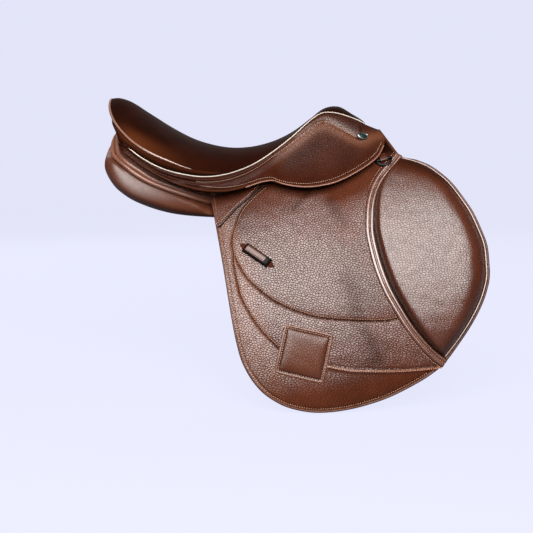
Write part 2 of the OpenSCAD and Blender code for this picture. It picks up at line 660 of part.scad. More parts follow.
// Girth straps: each turns a little on its rivet, and hangs from the girth web
strap_turn = 16.5;
pivot_v = -14;
pivot_us = [18, -32];
strap_top = 16;
module girth_web() color(web_tint) difference() {
    flap_sheet(girth_web_depth, web_t) polygon([[-54, 4], [36, 4], [36, -28], [-6, -44], [-54, -64]]);
    for (u = pivot_us) on_flap(u, pivot_v) cylinder(h = 60, r = rivet_r + running, center = true);
}
module strap(u) color(havana) difference() {
    flap_sheet(strap_depth, strap_t) translate([u, pivot_v]) rotate(strap_turn) {
        translate([-strap_w / 2, -strap_top]) square([strap_w, strap_l + strap_top - strap_w]);
        translate([0, strap_l - strap_w])
            polygon([[-strap_w / 2, 0], [strap_w / 2, 0], [4, strap_w], [-4, strap_w]]);
    }
    on_flap(u, pivot_v) cylinder(h = 60, r = rivet_r + running, center = true);
    for (i = [0 : hole_count - 1]) let (d = strap_l - 35 - i * hole_pitch)
        on_flap(u - d * sin(strap_turn), pivot_v + d * cos(strap_turn))
            cylinder(h = 60, r = hole_d / 2, center = true);
}
strap_end = strap_depth + strap_t;
module strap_rivets() color(brass) both_sides() for (u = pivot_us) on_flap(u, pivot_v) {
    translate([0, 0, -strap_end - 0.2]) cylinder(h = strap_end - girth_web_depth + 0.4, r = rivet_r);
    translate([0, 0, -strap_end - 1.6]) cylinder(h = 1.5, r = rivet_r + 2);
    translate([0, 0, -girth_web_depth + 0.1]) cylinder(h = 1.4, r = rivet_r + 2);
}

// Stirrup bar on the point, open behind, with a catch that lifts to let the leather off
tongue_t = 3;
tongue_l = 14;
pin_r = 2;
catch_x = bar_back + 6;
catch_y = bar_y + bar_h / 2;
catch_l = 24;
catch_h = 12;
module stirrup_bar() color(steel) difference() {
    point_frame() difference() {
        translate([0, bar_y + bar_h, 0]) rotate([90, 0, 0]) linear_extrude(bar_h) {
            translate([plate_back, gap]) square([bar_front - plate_back, plate_t]);
            translate([bar_front - 12, gap]) square([12, bar_z + bar_t - gap]);
            translate([bar_back, bar_z]) square([bar_front - bar_back, bar_t]);
        }
        translate([bar_back - 1, bar_y - 1, bar_z + tongue_t]) cube([tongue_l + 1, bar_h + 2, bar_t]);
        translate([catch_x, catch_y, 0]) cylinder(h = 60, r = pin_r + running);
    }
    point_rivets(rivet_r + running, 0, -5, bar_z - 4);
}
module bar_catch() color(steel) point_frame() translate([catch_x, catch_y, 0]) difference() {
    union() {
        translate([0, 0, bar_z + tongue_t + gap]) cylinder(h = bar_t - tongue_t - gap, r = catch_h / 2);
        translate([-catch_l, -catch_h / 2, bar_z + tongue_t + gap])
            cube([catch_l, catch_h, bar_t - tongue_t - gap]);
        translate([-catch_l, -catch_h / 2, gap + plate_t + 1]) cube([4, catch_h, bar_z + tongue_t - plate_t]);
    }
    cylinder(h = 60, r = pin_r + running);
}
module catch_pins() color(steel) both_sides() point_frame() translate([catch_x, catch_y, bar_z]) {
    translate([0, 0, -0.1]) cylinder(h = bar_t + 0.3, r = pin_r);
    translate([0, 0, bar_t + 0.2]) cylinder(h = 1.2, r = pin_r + 1.5);
    translate([0, 0, -1.2]) cylinder(h = 1.1, r = pin_r + 1.5);
}

// Dee in front of the skirt, in a leather chape on the fixed part of the flap
dee_at = [pommel_reach - 39, -20];
dee_r = dee_wire / 2;
dee_lift = dee_r + 2.2;
chape_w = 12;
module chape() color(havana) on_flap(dee_at.x, dee_at.y) difference() {
    translate([-chape_w / 2, -dee_r - 2, gap]) cube([chape_w, 2 * dee_r + 12, dee_lift + dee_r + 1.6 - gap]);
    translate([-20, 0, dee_lift]) rotate([0, 90, 0]) cylinder(h = 40, r = dee_r + running);
    translate([-20, dee_r + 2, dee_r + 2]) cube([40, 20, 20]);
}
module dee_chapes() both_sides() chape();
module dee() color(brass) on_flap(dee_at.x, dee_at.y) translate([0, 0, dee_lift]) {
    a = dee_w / 2 + dee_r;
    translate([-a, 0, 0]) rotate([0, 90, 0]) cylinder(h = 2 * a, r = dee_r);
    difference() {
        rotate_extrude() translate([a, 0]) circle(dee_r);
        translate([-50, 0, -10]) cube([100, 50, 20]);
    }
    for (x = [-a, a]) translate([x, 0, 0]) sphere(r = dee_r);
}

module left() mirror([0, 1, 0]) children();

tree();
gullet_plate();
head_rivets();
seat_webs();
seat_foam();
seat_cover();
seat_welt();
cantle_facing();
pommel_facing();
pommel_studs();
strap_rivets();
catch_pins();
dee_chapes();
skirt();  // skirt_right
left() skirt();  // skirt_left
skirt_lobe();  // skirt_lobe_right
left() skirt_lobe();  // skirt_lobe_left
panel();  // panel_right
left() panel();  // panel_left
sweat_flap();  // sweat_flap_right
left() sweat_flap();  // sweat_flap_left
girth_web();  // girth_web_right
left() girth_web();  // girth_web_left
strap(pivot_us[0]);  // strap_front_right
left() strap(pivot_us[0]);  // strap_front_left
strap(pivot_us[1]);  // strap_rear_right
left() strap(pivot_us[1]);  // strap_rear_left
stirrup_bar();  // stirrup_bar_right
left() stirrup_bar();  // stirrup_bar_left
bar_catch();  // bar_catch_right
left() bar_catch();  // bar_catch_left
flap_top();  // flap_top_right
left() flap_top();  // flap_top_left
flap_tab();  // flap_tab_right
left() flap_tab();  // flap_tab_left
flap();  // flap_right
left() flap();  // flap_left
knee_block();  // knee_block_right
left() knee_block();  // knee_block_left
block_welt();  // block_welt_right
left() block_welt();  // block_welt_left
keeper();  // keeper_right
left() keeper();  // keeper_left
guard();  // guard_right
left() guard();  // guard_left
dee();  // dee_right
left() dee();  // dee_left
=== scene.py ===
"""Dresses the frame of a jumping saddle in leather, padding, piping, stitching and metal."""
import math

import bmesh
import bpy
import numpy as np
from mathutils import Matrix, Vector, noise


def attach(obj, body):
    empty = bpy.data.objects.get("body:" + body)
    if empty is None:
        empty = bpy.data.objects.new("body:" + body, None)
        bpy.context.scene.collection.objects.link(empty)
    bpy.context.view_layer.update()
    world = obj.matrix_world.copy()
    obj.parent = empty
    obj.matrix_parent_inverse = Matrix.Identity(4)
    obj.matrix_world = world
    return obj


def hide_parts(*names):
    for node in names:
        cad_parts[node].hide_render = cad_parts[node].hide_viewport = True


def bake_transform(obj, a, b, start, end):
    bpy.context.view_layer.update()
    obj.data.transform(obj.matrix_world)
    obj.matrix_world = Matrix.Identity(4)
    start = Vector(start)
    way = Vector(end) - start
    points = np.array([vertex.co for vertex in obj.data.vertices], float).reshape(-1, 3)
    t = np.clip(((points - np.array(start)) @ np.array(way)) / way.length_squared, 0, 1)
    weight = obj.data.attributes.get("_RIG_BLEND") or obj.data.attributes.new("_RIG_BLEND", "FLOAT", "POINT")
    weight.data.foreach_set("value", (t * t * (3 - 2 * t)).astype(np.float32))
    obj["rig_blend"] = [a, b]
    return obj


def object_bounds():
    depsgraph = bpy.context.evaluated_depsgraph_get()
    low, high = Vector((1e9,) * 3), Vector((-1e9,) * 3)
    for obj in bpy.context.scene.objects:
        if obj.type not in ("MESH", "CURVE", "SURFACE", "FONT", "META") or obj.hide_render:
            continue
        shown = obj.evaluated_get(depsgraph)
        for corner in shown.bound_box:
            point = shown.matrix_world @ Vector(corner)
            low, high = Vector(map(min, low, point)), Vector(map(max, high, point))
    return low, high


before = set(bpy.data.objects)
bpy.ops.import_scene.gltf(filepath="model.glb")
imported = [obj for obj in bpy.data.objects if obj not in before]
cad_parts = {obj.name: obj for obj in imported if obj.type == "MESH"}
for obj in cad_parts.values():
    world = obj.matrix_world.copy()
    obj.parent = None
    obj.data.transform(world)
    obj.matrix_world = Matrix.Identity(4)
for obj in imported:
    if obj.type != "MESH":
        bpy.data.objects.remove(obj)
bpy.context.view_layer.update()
MM = 0.001
TINY = 1e-9


# Curves and small helpers. Lengths are in millimetres, angles in degrees

def sin(degrees):
    return math.sin(math.radians(degrees))


def cos(degrees):
    return math.cos(math.radians(degrees))


def turn(axis, d):
    """Matrix of a turn by d degrees about axis 0, 1 or 2."""
    i, j = (axis + 1) % 3, (axis + 2) % 3
    m = np.eye(3)
    m[i, i] = m[j, j] = cos(d)
    m[i, j], m[j, i] = -sin(d), sin(d)
    return m


def unit(v):
    v = np.asarray(v, float)
    return v / np.maximum(np.linalg.norm(v, axis=-1, keepdims=True), TINY)


def length(v):
    return np.linalg.norm(v, axis=1)


def columns(*parts):
    return np.stack(parts, 1)


def ease(x, low, high):
    """Soft step from 0 at low to 1 at high."""
    t = np.clip((x - low) / (high - low), 0, 1)
    return t * t * (3 - 2 * t)


def dip(distance, width):
    """Soft hollow or ridge, 1 on the line and 0 away from it."""
    return np.exp(-(distance / width) ** 2)


def pair(s, t):
    """Two numbers or rows of numbers, as rows of one length."""
    return np.broadcast_arrays(*np.atleast_1d(s, t))


def through(points, s):
    """Smooth curve through the points, at s counted in points."""
    p = np.asarray(points, float)
    s = np.atleast_1d(s)
    last = len(p) - 1
    i = np.clip(np.floor(s).astype(int), 0, last - 1)
    t = (s - i)[:, None]
    a, b, c, d = (p[np.clip(i + k, 0, last)] for k in (-1, 0, 1, 2))
    square, cube = a - 2.5 * b + 2 * c - d / 2, 1.5 * (b - c) + (d - a) / 2
    return b + t * (c - a) / 2 + t ** 2 * square + t ** 3 * cube


def graph(pairs, x):
    """Smooth graph through [x, value] pairs that rise in x."""
    p = np.asarray(pairs, float)
    n = len(p) - 1
    k = np.arange(n + 1)
    low, high = np.clip(k - 1, 0, n), np.clip(k + 1, 0, n)
    grade = (p[high, 1] - p[low, 1]) / (p[high, 0] - p[low, 0])
    q = np.clip(x, p[0, 0], p[-1, 0])
    i = np.clip(np.searchsorted(p[:, 0], q, side="right") - 1, 0, n - 1)
    h = p[i + 1, 0] - p[i, 0]
    t = (q - p[i, 0]) / h
    u = 1 - t
    ends = p[i, 1] * (1 + 2 * t) * u * u + p[i + 1, 1] * (3 - 2 * t) * t * t
    return ends + h * t * u * (grade[i] * u - grade[i + 1] * t)


def drawn(points):
    """The smooth curve through the points, in short pieces."""
    return through(points, np.linspace(0, len(points) - 1, 16 * len(points)))


def run_of(path):
    """Length of the path up to each of its points."""
    return np.concatenate([[0], np.cumsum(length(np.diff(path, axis=0)))])


def read_at(lengths, run, values):
    """Values of a path's points, read at lengths of the path."""
    return columns(*(np.interp(lengths, run, column) for column in values.T))


def line(points, share):
    """Places at shares of the length of that curve."""
    path = drawn(points)
    run = run_of(path)
    return read_at(np.atleast_1d(share) * run[-1], run, path)


def even(points, step):
    """That curve, cut in pieces of about one step."""
    whole = length(np.diff(drawn(points), axis=0)).sum()
    return line(points, np.linspace(0, 1, max(2, int(round(whole / step)) + 1)))


def sideways(way):
    """Flat directions turned a quarter, to the front from down."""
    return columns(way[:, 1], -way[:, 0])


def beside(path, distance):
    """A flat path moved sideways."""
    return path + distance * sideways(unit(np.gradient(path, axis=0)))


def off_line(points, path):
    """Distance from each point to the path."""
    best = np.full(len(points), 1e9)
    for a, b in zip(path[:-1], path[1:]):
        d = b - a
        t = np.clip((points - a) @ d / max(d @ d, TINY), 0, 1)
        best = np.minimum(best, length(points - a - t[:, None] * d))
    return best


def from_ends(path):
    """Steps from each point of the path to its nearer end."""
    k = np.arange(len(path))
    return np.minimum(k, k[::-1])


def over_both(half):
    """A path on the right, carried on over the left side."""
    return np.vstack([half, half[-2::-1] * [1, -1, 1]])


def rough(points, size, seed):
    """Soft random heights, about -1 to 1, with bumps about size wide."""
    shift = Vector((seed, seed, seed))
    return np.array([noise.noise(Vector((*(p / size), 0.0)[:3]) + shift) for p in points])


# Shape of the frame, as in the part's source

CANTLE, POMMEL, CANTLE_H, DIP_H, POMMEL_H = 250.0, 178.0, 202.0, 111.0, 187.0
HALF_W = 132.0
RISE, POMMEL_RISE = CANTLE_H - DIP_H, POMMEL_H - DIP_H
BACK_MID = [(-225, 0.92), (-190, 0.68), (-150, 0.38), (-105, 0.13), (-60, 0)]
FRONT_MID = [(0.11, 0.18), (0.31, 0.41), (0.48, 0.66), (0.62, 0.89)]
SEAT_MID = np.array([
    [-CANTLE - 4, CANTLE_H - 36], [-CANTLE - 12, CANTLE_H - 15], [-CANTLE, CANTLE_H],
    *[[x, DIP_H + k * RISE] for x, k in BACK_MID], [-20, DIP_H + 0.03 * POMMEL_RISE],
    *[[x * POMMEL, DIP_H + k * POMMEL_RISE] for x, k in FRONT_MID],
    [0.76 * POMMEL, POMMEL_H], [0.89 * POMMEL, 181], [0.965 * POMMEL, 168], [POMMEL, 158]])
BACK_EDGE = np.array([
    (-224, 0.85, 126), (-218, 0.886, 122), (-205, 0.917, 112), (-185, 0.962, 98), (-155, 0.992, 83),
    (-122, 1, 74), (-87, 0.955, 70), (-50, 0.871, 75), (-12.5, 0.773, 89)])
FRONT_EDGE = np.array([
    (0.124, 90, 110), (0.31, 77, 136), (0.472, 65, 162), (0.596, 55, 175), (0.73, 51, 174),
    (0.843, 51, 168), (0.927, 51, 162), (0.989, 50, 156)])
SEAT_EDGE = np.vstack([BACK_EDGE * [1, HALF_W, 1], FRONT_EDGE * [POMMEL, 1, 1]])
LAST = len(SEAT_MID) - 1


def seat_fall(k):
    """Share of the seat's fall at k of the way to its edge."""
    return 0.8 * k ** 2.2 + 0.2 * k ** 10


TREE_CREST = SEAT_MID[2:] - [0, 28.5]
TREE_FALL = [(-CANTLE, 44), (-205, 35), (-155, 27), (-87.5, 23), (-20, 18), (0.31 * POMMEL, 13), (POMMEL, 15)]

FOLD = np.array([75.0, -118.0, 38.0])
FLAP_M = turn(2, 5) @ turn(1, -16) @ turn(0, 70)
FLAP_R, FLAP_HALF, FLAP_T = 690.0, 15.0, 5.0
FLAP_MID = FLAP_R * sin(FLAP_HALF)


def flap_place(uv, lift=0.0):
    """Places on the flap: u along the fold, v down from it, lifted off its outer face."""
    uv = np.atleast_2d(uv)
    k = (uv[:, 1] - FLAP_MID) / FLAP_R
    r = FLAP_R + lift
    high = np.sqrt(1 - k * k) * r - FLAP_R * cos(FLAP_HALF)
    return FOLD + columns(uv[:, 0], -FLAP_MID - k * r, high) @ FLAP_M.T


def flap_out(uv):
    """Way out of the flap's face."""
    uv = np.atleast_2d(uv)
    k = (uv[:, 1] - FLAP_MID) / FLAP_R
    return columns(0 * k, -k, np.sqrt(1 - k * k)) @ FLAP_M.T


def flap_y(x, z, depth):
    """How far out the face lies that is depth inside the flap's outer face."""
    a, b = FLAP_M[:, 1], FLAP_M[:, 2]
    dx, dz = x - FOLD[0], z - FOLD[2]
    p = a[0] * dx + a[2] * dz + FLAP_MID
    q = b[0] * dx + b[2] * dz + FLAP_R * cos(FLAP_HALF)
    k2, k1 = a[1] ** 2 + b[1] ** 2, p * a[1] + q * b[1]
    k0 = p * p + q * q - (FLAP_R - depth) ** 2
    return FOLD[1] + (-k1 - np.sqrt(np.maximum(k1 * k1 - k2 * k0, 0))) / k2


LOBE_BACK, LOBE_FRONT = np.array([4.0, -120.0, 61.0]), np.array([200.0, -70.0, 137.0])
LOBE_DIR = unit(LOBE_FRONT - LOBE_BACK)
LOBE_R, LOBE_HALF = 160.0, 12.0
LOBE_MID = LOBE_R * sin(LOBE_HALF)
LOBE_M = (turn(2, math.degrees(math.atan2(LOBE_DIR[1], LOBE_DIR[0])))
          @ turn(1, -math.degrees(math.asin(LOBE_DIR[2]))) @ turn(0, 53))
LOBE_EDGE = np.array([
    (0, 0.4), (12, 5), (23, 19), (39, 34.5), (58, 46), (79, 52.5), (103, 56), (136, 54.5), (174, 47),
    (196, 35), (207, 26.5), (213, 17), (216, 7), (216.5, 0.4)])


def lobe_place(u, v, lift=0.0):
    """Places on the skirt's lobe, given as on the flap."""
    k = (v - LOBE_MID) / LOBE_R
    r = LOBE_R + lift
    high = np.sqrt(1 - k * k) * r - LOBE_R * cos(LOBE_HALF)
    return LOBE_BACK + columns(u, -LOBE_MID - k * r, high) @ LOBE_M.T


SKIRT_FLARE = unit([4, -9, -18])
SKIRT_DROPS = [20, 21, 21.5, 21.5, 23, 27, 31, 35, 38]
RIGHT_EDGE = SEAT_EDGE * [1, -1, 1]
LOBE_LINE = LOBE_BACK + (RIGHT_EDGE[9:, :1] - LOBE_BACK[0]) / LOBE_DIR[0] * LOBE_DIR
SKIRT_TOP = np.vstack([RIGHT_EDGE, LOBE_FRONT + [0, 14, 8]])
SKIRT_FOLD = np.vstack([RIGHT_EDGE[:9] + np.outer(SKIRT_DROPS, SKIRT_FLARE), LOBE_LINE, LOBE_FRONT])


def skirt_dir(s):
    """Way down the skirt from the edge of the seat."""
    return unit(through(SKIRT_FOLD, s) - through(SKIRT_TOP, s))


def skirt_out(s):
    """Way out of the skirt's face."""
    a, b = through(SKIRT_TOP, np.maximum(s - 0.1, 0)), through(SKIRT_TOP, np.minimum(s + 0.1, LAST + 1))
    return unit(np.cross(skirt_dir(s), b - a))


PANEL_X = np.array([
    -256, -252.5, -244, -231, -205, -165, -120, -60, 0, 0.34 * POMMEL, 0.67 * POMMEL, 0.93 * POMMEL,
    1.08 * POMMEL, 1.13 * POMMEL])
PANEL_ROWS = np.array([
    [73, 86, 5, 2, 2, 0], [73, 83, 20, 18, 12, 0], [74, 75, 31, 43, 19, 0], [75, 60, 39, 50, 18, 0],
    [76, 41, 44, 50, 16, 0], [77, 27, 45, 48, 17, 0], [78, 21, 44, 44, 18, 4], [78, 32, 45, 28, 28, 22],
    [78, 30, 46, 27, 27, 26], [78, 28, 50, 26, 26, 34], [76, 22, 58, 24, 24, 48], [74, 20, 56, 20, 20, 56],
    [74, 22, 38, 13, 13, 58], [74, 24, 14, 6, 6, 58]])
PANEL_LAST = len(PANEL_X) - 1

# The rolls between seat and panel, from the middle of the back to the right front
ROLL_MID = np.array([
    (-234, 0, 147), (-234, -40, 142), (-233.5, -67, 132), (-232, -87, 118), (-228.7, -98, 104.1),
    (-215.6, -110.3, 90.6), (-192.6, -117, 76), (-174, -119.1, 64), (-155.4, -119.4, 56),
    (-127.7, -119.5, 46.5), (-104, -113, 39), (-84, -97, 31.5), (-66, -88, 28)])
ROLL_LOW = np.array([
    (-240, 0, 140), (-240.5, -38, 136), (-241.5, -62, 126.5), (-241.5, -80, 113.5), (-236.5, -95, 100),
    (-219.9, -108, 86.4), (-200.2, -115.9, 71.7), (-177.8, -118.9, 58.8), (-155.5, -119.4, 49.6),
    (-127.8, -119.5, 40.3), (-104, -114, 32.5), (-84, -99, 25.5), (-66, -91, 20)])


def pressed(v, limit):
    """Heights v, flattened where they would pass the limit."""
    return np.where(v < limit, v, limit - 0.5 * np.exp(np.minimum((limit - v) / 8, 0)))


def panel_place(s, angle):
    """Places on the right panel: s counts rows from the back, angle goes from outside over the top."""
    s, angle = pair(s, angle)
    x, row = through(PANEL_X[:, None], s)[:, 0], through(PANEL_ROWS, s)
    c, n = np.cos(np.radians(angle)), np.sin(np.radians(angle))
    power = 0.96 - 0.14 * ease(s, 5, 7)
    p = row[:, 2] * np.sign(c) * abs(c) ** power
    q = np.where(n > 0, row[:, 3], row[:, 4]) * np.sign(n) * abs(n) ** power
    tip = np.radians(row[:, 5])
    y = pressed(-row[:, 0] - p * np.cos(tip) - q * np.sin(tip), -32)
    tree = graph(TREE_CREST, x) - graph(TREE_FALL, x) * (y / 100) ** 2 - 9
    ceiling = np.minimum(tree, np.where(x > 87, 54, 1000)) - 0.4
    z = pressed(row[:, 1] - p * np.sin(tip) + q * np.cos(tip), ceiling)
    side = flap_y(np.maximum(x, -84), z, 6 + 13.4 * ease(x, -84, -58)) - 1.3 * np.maximum(0, -84 - x)
    roll_x, roll_y, roll_z = ROLL_LOW[4:].T
    above = z - np.interp(x, roll_x, roll_z) + 5
    side = np.maximum(side, np.interp(x, roll_x, roll_y) + 1.5 + np.where(above > 0, 0.6, 2.4) * above)
    return columns(x, np.maximum(y, side), z)


# Materials

DRIFT = {"Scale": 16.0, "Detail": 6.0, "Roughness": 0.62}
WRINKLES = {"Scale": 95.0, "Detail": 7.0, "Roughness": 0.68, "Distortion": 0.8}
BLACK, WHITE = (0, 0, 0), (1, 1, 1)
SHEEN_ROUGHNESS = 0.4
# Colour of painted shade, and of dark seams and edges
SHADE_AND_SEAM_DARK = (0.007, 0.0022, 0.0013, 1)
MATT = (0.005, 0.005, 0.005, 1)


def give(tree, node, inputs):
    """Sets the inputs of a node, or links them where a socket is given."""
    for key, value in inputs.items():
        if isinstance(value, bpy.types.NodeSocket):
            tree.links.new(value, node.inputs[key])
        else:
            node.inputs[key].default_value = value


def add(tree, kind, output, inputs, **settings):
    """Output of a new node."""
    node = tree.nodes.new("ShaderNode" + kind)
    for key, value in settings.items():
        setattr(node, key, value)
    give(tree, node, inputs)
    return node.outputs[output]


def new_material(name):
    mat = bpy.data.materials.new(name)
    mat.use_nodes = True
    return mat, mat.node_tree, mat.node_tree.nodes["Principled BSDF"]


def plain(name, colour, roughness, metallic=0.0, shine=0.5):
    mat, tree, shader = new_material(name)
    give(tree, shader, {"Base Color": (*colour, 1), "Roughness": roughness, "Metallic": metallic,
                        "Specular IOR Level": shine})
    mat.diffuse_color = (*colour, 1)
    return mat


def grey(value):
    return (value,) * 3


def ramp(tree, source, stops):
    node = tree.nodes.new("ShaderNodeValToRGB")
    give(tree, node, {"Fac": source})
    band = node.color_ramp
    while len(band.elements) < len(stops):
        band.elements.new(0.5)
    for element, (at, colour) in zip(band.elements, stops):
        element.position = at
        element.color = (*colour, 1)
    return node.outputs["Color"]


def tint(tree, amount, under, over, kind="MIX"):
    return add(tree, "MixRGB", "Color", {"Fac": amount, "Color1": under, "Color2": over}, blend_type=kind)


def leather(name, deep, light, gloss, cell, relief, wrinkle, valley, shine=0.5, wear_and_painted_light=(0.15, 0.05, 0.02),
            laid=False, sheen=0.0):
    """Leather that darkens with painted shade and at dark seams, and pales with wear and with painted light.

    Pebbles are cell mm wide and relief mm high, with dark valleys. Laid leather has them on its mark lay.
    """
    mat, tree, shader = new_material(name)
    spot = add(tree, "TexCoord", "Object", {})
    drift = add(tree, "TexNoise", "Fac", {"Vector": spot, **DRIFT})
    colour = ramp(tree, drift, [(0.32, deep), (0.68, light)])

    flat = add(tree, "Attribute", "Vector", {}, attribute_name="lay") if laid else spot
    wander = add(tree, "TexNoise", "Color", {"Vector": flat, "Scale": 0.4e3 / cell, "Detail": 2.0})
    bend = {0: wander, 1: grey(0.4 * cell * MM), 2: flat}
    bent = add(tree, "VectorMath", "Vector", bend, operation="MULTIPLY_ADD")
    cells = {"Vector": bent, "Scale": 1e3 / cell, "Randomness": 0.95}
    inside = add(tree, "TexVoronoi", "Distance", cells, feature="DISTANCE_TO_EDGE",
                 voronoi_dimensions="2D" if laid else "3D")
    pebble = ramp(tree, inside, [(0.0, BLACK), (0.13, grey(0.6)), (0.38, WHITE)])
    colour = tint(tree, 0.5 * valley, colour, tint(tree, 1.0, colour, pebble, "MULTIPLY"))
    polish = ramp(tree, inside, [(0.0, grey(shine * (1 - valley))), (0.2, grey(shine))])

    # The first mark paints shade and dark seams, the second wear and painted light; the first and the last
    # dull the polish
    for mark, shade in (("shade_and_seams", SHADE_AND_SEAM_DARK), ("wear_and_painted_light", (*wear_and_painted_light, 1)), ("dull", None)):
        amount = add(tree, "Attribute", "Fac", {}, attribute_name=mark)
        if shade:
            colour = tint(tree, amount, colour, shade)
        if mark != "wear_and_painted_light":
            polish = tint(tree, amount, polish, MATT)

    creases = add(tree, "TexNoise", "Fac", {"Vector": spot, **WRINKLES})
    uneven = ramp(tree, creases, [(0.3, grey(gloss - 0.06)), (0.7, grey(gloss + 0.08))])
    large = {"Strength": 0.9, "Distance": wrinkle * MM, "Height": creases}
    wrinkled = add(tree, "Bump", "Normal", large)
    small = {"Strength": 1.0, "Distance": relief * MM, "Height": pebble, "Normal": wrinkled}
    give(tree, shader, {"Base Color": colour, "Roughness": uneven, "Specular IOR Level": polish,
                        "Sheen Weight": sheen, "Sheen Roughness": SHEEN_ROUGHNESS,
                        "Normal": add(tree, "Bump", "Normal", small)})
    mat.diffuse_color = (*light, 1)
    return mat


# The numbers after the two colours are gloss, cell, relief, wrinkle, valley and shine
# The seat's leather is dark, and its colours are darkened further as painted shade; its warm pale colour
# paints a glow of light near the crest
SEAT = leather("seat_leather", (0.006, 0.0013, 0.0006), (0.013, 0.0029, 0.0013),
               0.30, 1.6, 0.03, 0.12, 0.25, 0.0, wear_and_painted_light=(0.075, 0.019, 0.006), sheen=0.03)
SKIRT = leather("skirt_leather", (0.021, 0.0047, 0.002), (0.035, 0.0086, 0.0039),
                0.33, 3.4, 0.20, 0.2, 0.85, 0.34, laid=True)
PANEL = leather("panel_leather", (0.048, 0.0135, 0.0062), (0.07, 0.021, 0.0105),
                0.41, 1.5, 0.02, 0.1, 0.2, 0.56)
GRAIN = leather("grain_leather", (0.046, 0.0118, 0.0051), (0.072, 0.0192, 0.009),
                0.29, 3.4, 0.24, 0.12, 1.0, 0.64, laid=True)
BLOCK = leather("block_leather", (0.042, 0.011, 0.0048), (0.062, 0.0168, 0.008),
                0.29, 3.2, 0.13, 0.24, 0.75, 0.64, laid=True)
SMOOTH = leather("strap_leather", (0.036, 0.0088, 0.004), (0.058, 0.0154, 0.0072),
                 0.30, 1.4, 0.03, 0.12, 0.3, 0.3)
# Pale leather for the rolls and the skirt's rolled edge; the paleness is partly a painted highlight
ROLL = leather("roll_leather", (0.11, 0.042, 0.025), (0.16, 0.065, 0.04), 0.30, 1.2, 0.01, 0.02, 0.1)
EDGING = leather("edging_leather", (0.05, 0.0155, 0.008), (0.08, 0.027, 0.0145),
                 0.23, 1.2, 0.01, 0.02, 0.1, 1.0)
# Pale welt on the cantle's crest; its paleness is partly a painted highlight
WELT_HIGHLIGHT = leather("welt_leather", (0.125, 0.064, 0.047), (0.165, 0.088, 0.066),
                 0.21, 1.2, 0.01, 0.02, 0.1, 1.0)
CREAM = leather("piping_leather", (0.31, 0.26, 0.22), (0.42, 0.36, 0.31),
                0.42, 1.2, 0.03, 0.1, 0.2, wear_and_painted_light=(0.5, 0.4, 0.32))
THREAD = plain("thread", (0.30, 0.175, 0.125), 0.75)
# Black for dyed edges and dark thread, also standing in for painted shade beside the overlay and round the
# keeper
EDGE = plain("edge_dye_and_shade", (0.004, 0.0025, 0.002), 0.5, shine=0.08)
# The dee's metal is darkened as painted shade under the skirt's lobe
SHADED_METAL = plain("dark_metal", (0.014, 0.016, 0.019), 0.34, 1.0)
STEEL = plain("steel", (0.26, 0.26, 0.265), 0.38, 1.0)
SILVER = plain("plated_metal", (0.20, 0.205, 0.20), 0.42, 1.0)
ENAMEL = plain("green_enamel", (0.004, 0.014, 0.012), 0.35, shine=0.2)
BRASS = plain("brass", (0.62, 0.50, 0.27), 0.25, 1.0)
FOAM = plain("foam", (0.70, 0.62, 0.42), 0.9)
WEB = plain("webbing", (0.045, 0.032, 0.024), 0.85)
SHELL = plain("tree_shell", (0.03, 0.03, 0.033), 0.5)


# Making pieces

UP, BACKWARD, FORWARD, OUTWARD = (0, 0, 1), (-1, 0, 0), (1, 0, 0), (0, -1, 0.3)
TUBE_UP = (0.3, 0.1, 1.0)
MIRROR = Matrix.Scale(-1, 4, (0, 1, 0))
JOIN = 1e-6
STITCH_H, STITCH_LEAN = 0.7, 0.12


def grid(steps, rows, place):
    """A grid laid by place(share along, share across), which gives points and marks."""
    bm = bmesh.new()
    bmesh.ops.create_grid(bm, x_segments=steps, y_segments=rows, size=1)
    flat = np.array([v.co[:2] for v in bm.verts]) / 2 + 0.5
    spots, marks = place(flat[:, 0], flat[:, 1])
    for vert, spot in zip(bm.verts, spots):
        vert.co = spot * MM
    for key, values in marks.items():
        layers = bm.verts.layers.float if np.ndim(values) == 1 else bm.verts.layers.float_vector
        layer = layers.new(key)
        for vert, value in zip(bm.verts, values):
            vert[layer] = value
    return bm


def closed(bm):
    """Joins the two long edges of a rolled grid and caps its ends."""
    bmesh.ops.remove_doubles(bm, verts=bm.verts, dist=JOIN)
    bmesh.ops.holes_fill(bm, edges=bm.edges, sides=0)
    bmesh.ops.recalc_face_normals(bm, faces=bm.faces)
    return bm


def verts_of(geom):
    return [g for g in geom if isinstance(g, bmesh.types.BMVert)]


def placed(name, data, at=(0, 0, 0)):
    """A new object in the scene."""
    obj = bpy.data.objects.new(name, data)
    obj.location = at
    bpy.context.scene.collection.objects.link(obj)
    return obj


def piece(name, bm, material, facing=None):
    """An object from the mesh. Most of an open sheet looks to its facing."""
    if facing is not None:
        bm.normal_update()
        look = sum((f.normal * f.calc_area() for f in bm.faces), Vector())
        if look.dot(Vector(facing)) < 0:
            bmesh.ops.reverse_faces(bm, faces=bm.faces)
    mesh = bpy.data.meshes.new(name)
    bm.to_mesh(mesh)
    bm.free()
    mesh.shade_smooth()
    mesh.materials.append(material)
    return placed(name, mesh)


def sheet(name, size, place, material, facing, thick, edge=0.6):
    """A sheet laid on a grid, with its thickness inwards and rounded cut edges."""
    obj = piece(name, grid(*size, place), material, facing)
    solid = obj.modifiers.new("thickness", "SOLIDIFY")
    solid.thickness = thick * MM
    solid.offset = -1
    solid.use_even_offset = False
    round_off = obj.modifiers.new("round_edge", "BEVEL")
    round_off.width = edge * MM
    round_off.segments = 2
    round_off.limit_method = "ANGLE"
    round_off.angle_limit = math.radians(50)
    return obj


def tube(name, path, radius, material, sides=10):
    """Round tube along a path."""
    n = len(path)
    along = unit(np.gradient(path, axis=0))
    side = unit(np.cross(along, TUBE_UP))
    top = np.cross(side, along)
    radius = np.broadcast_to(radius, n)

    def place(a, b):
        i = np.rint(a * (n - 1)).astype(int)
        w = 2 * np.pi * b[:, None]
        return path[i] + radius[i][:, None] * (side[i] * np.cos(w) + top[i] * np.sin(w)), {}

    return piece(name, closed(grid(n - 1, sides, place)), material)


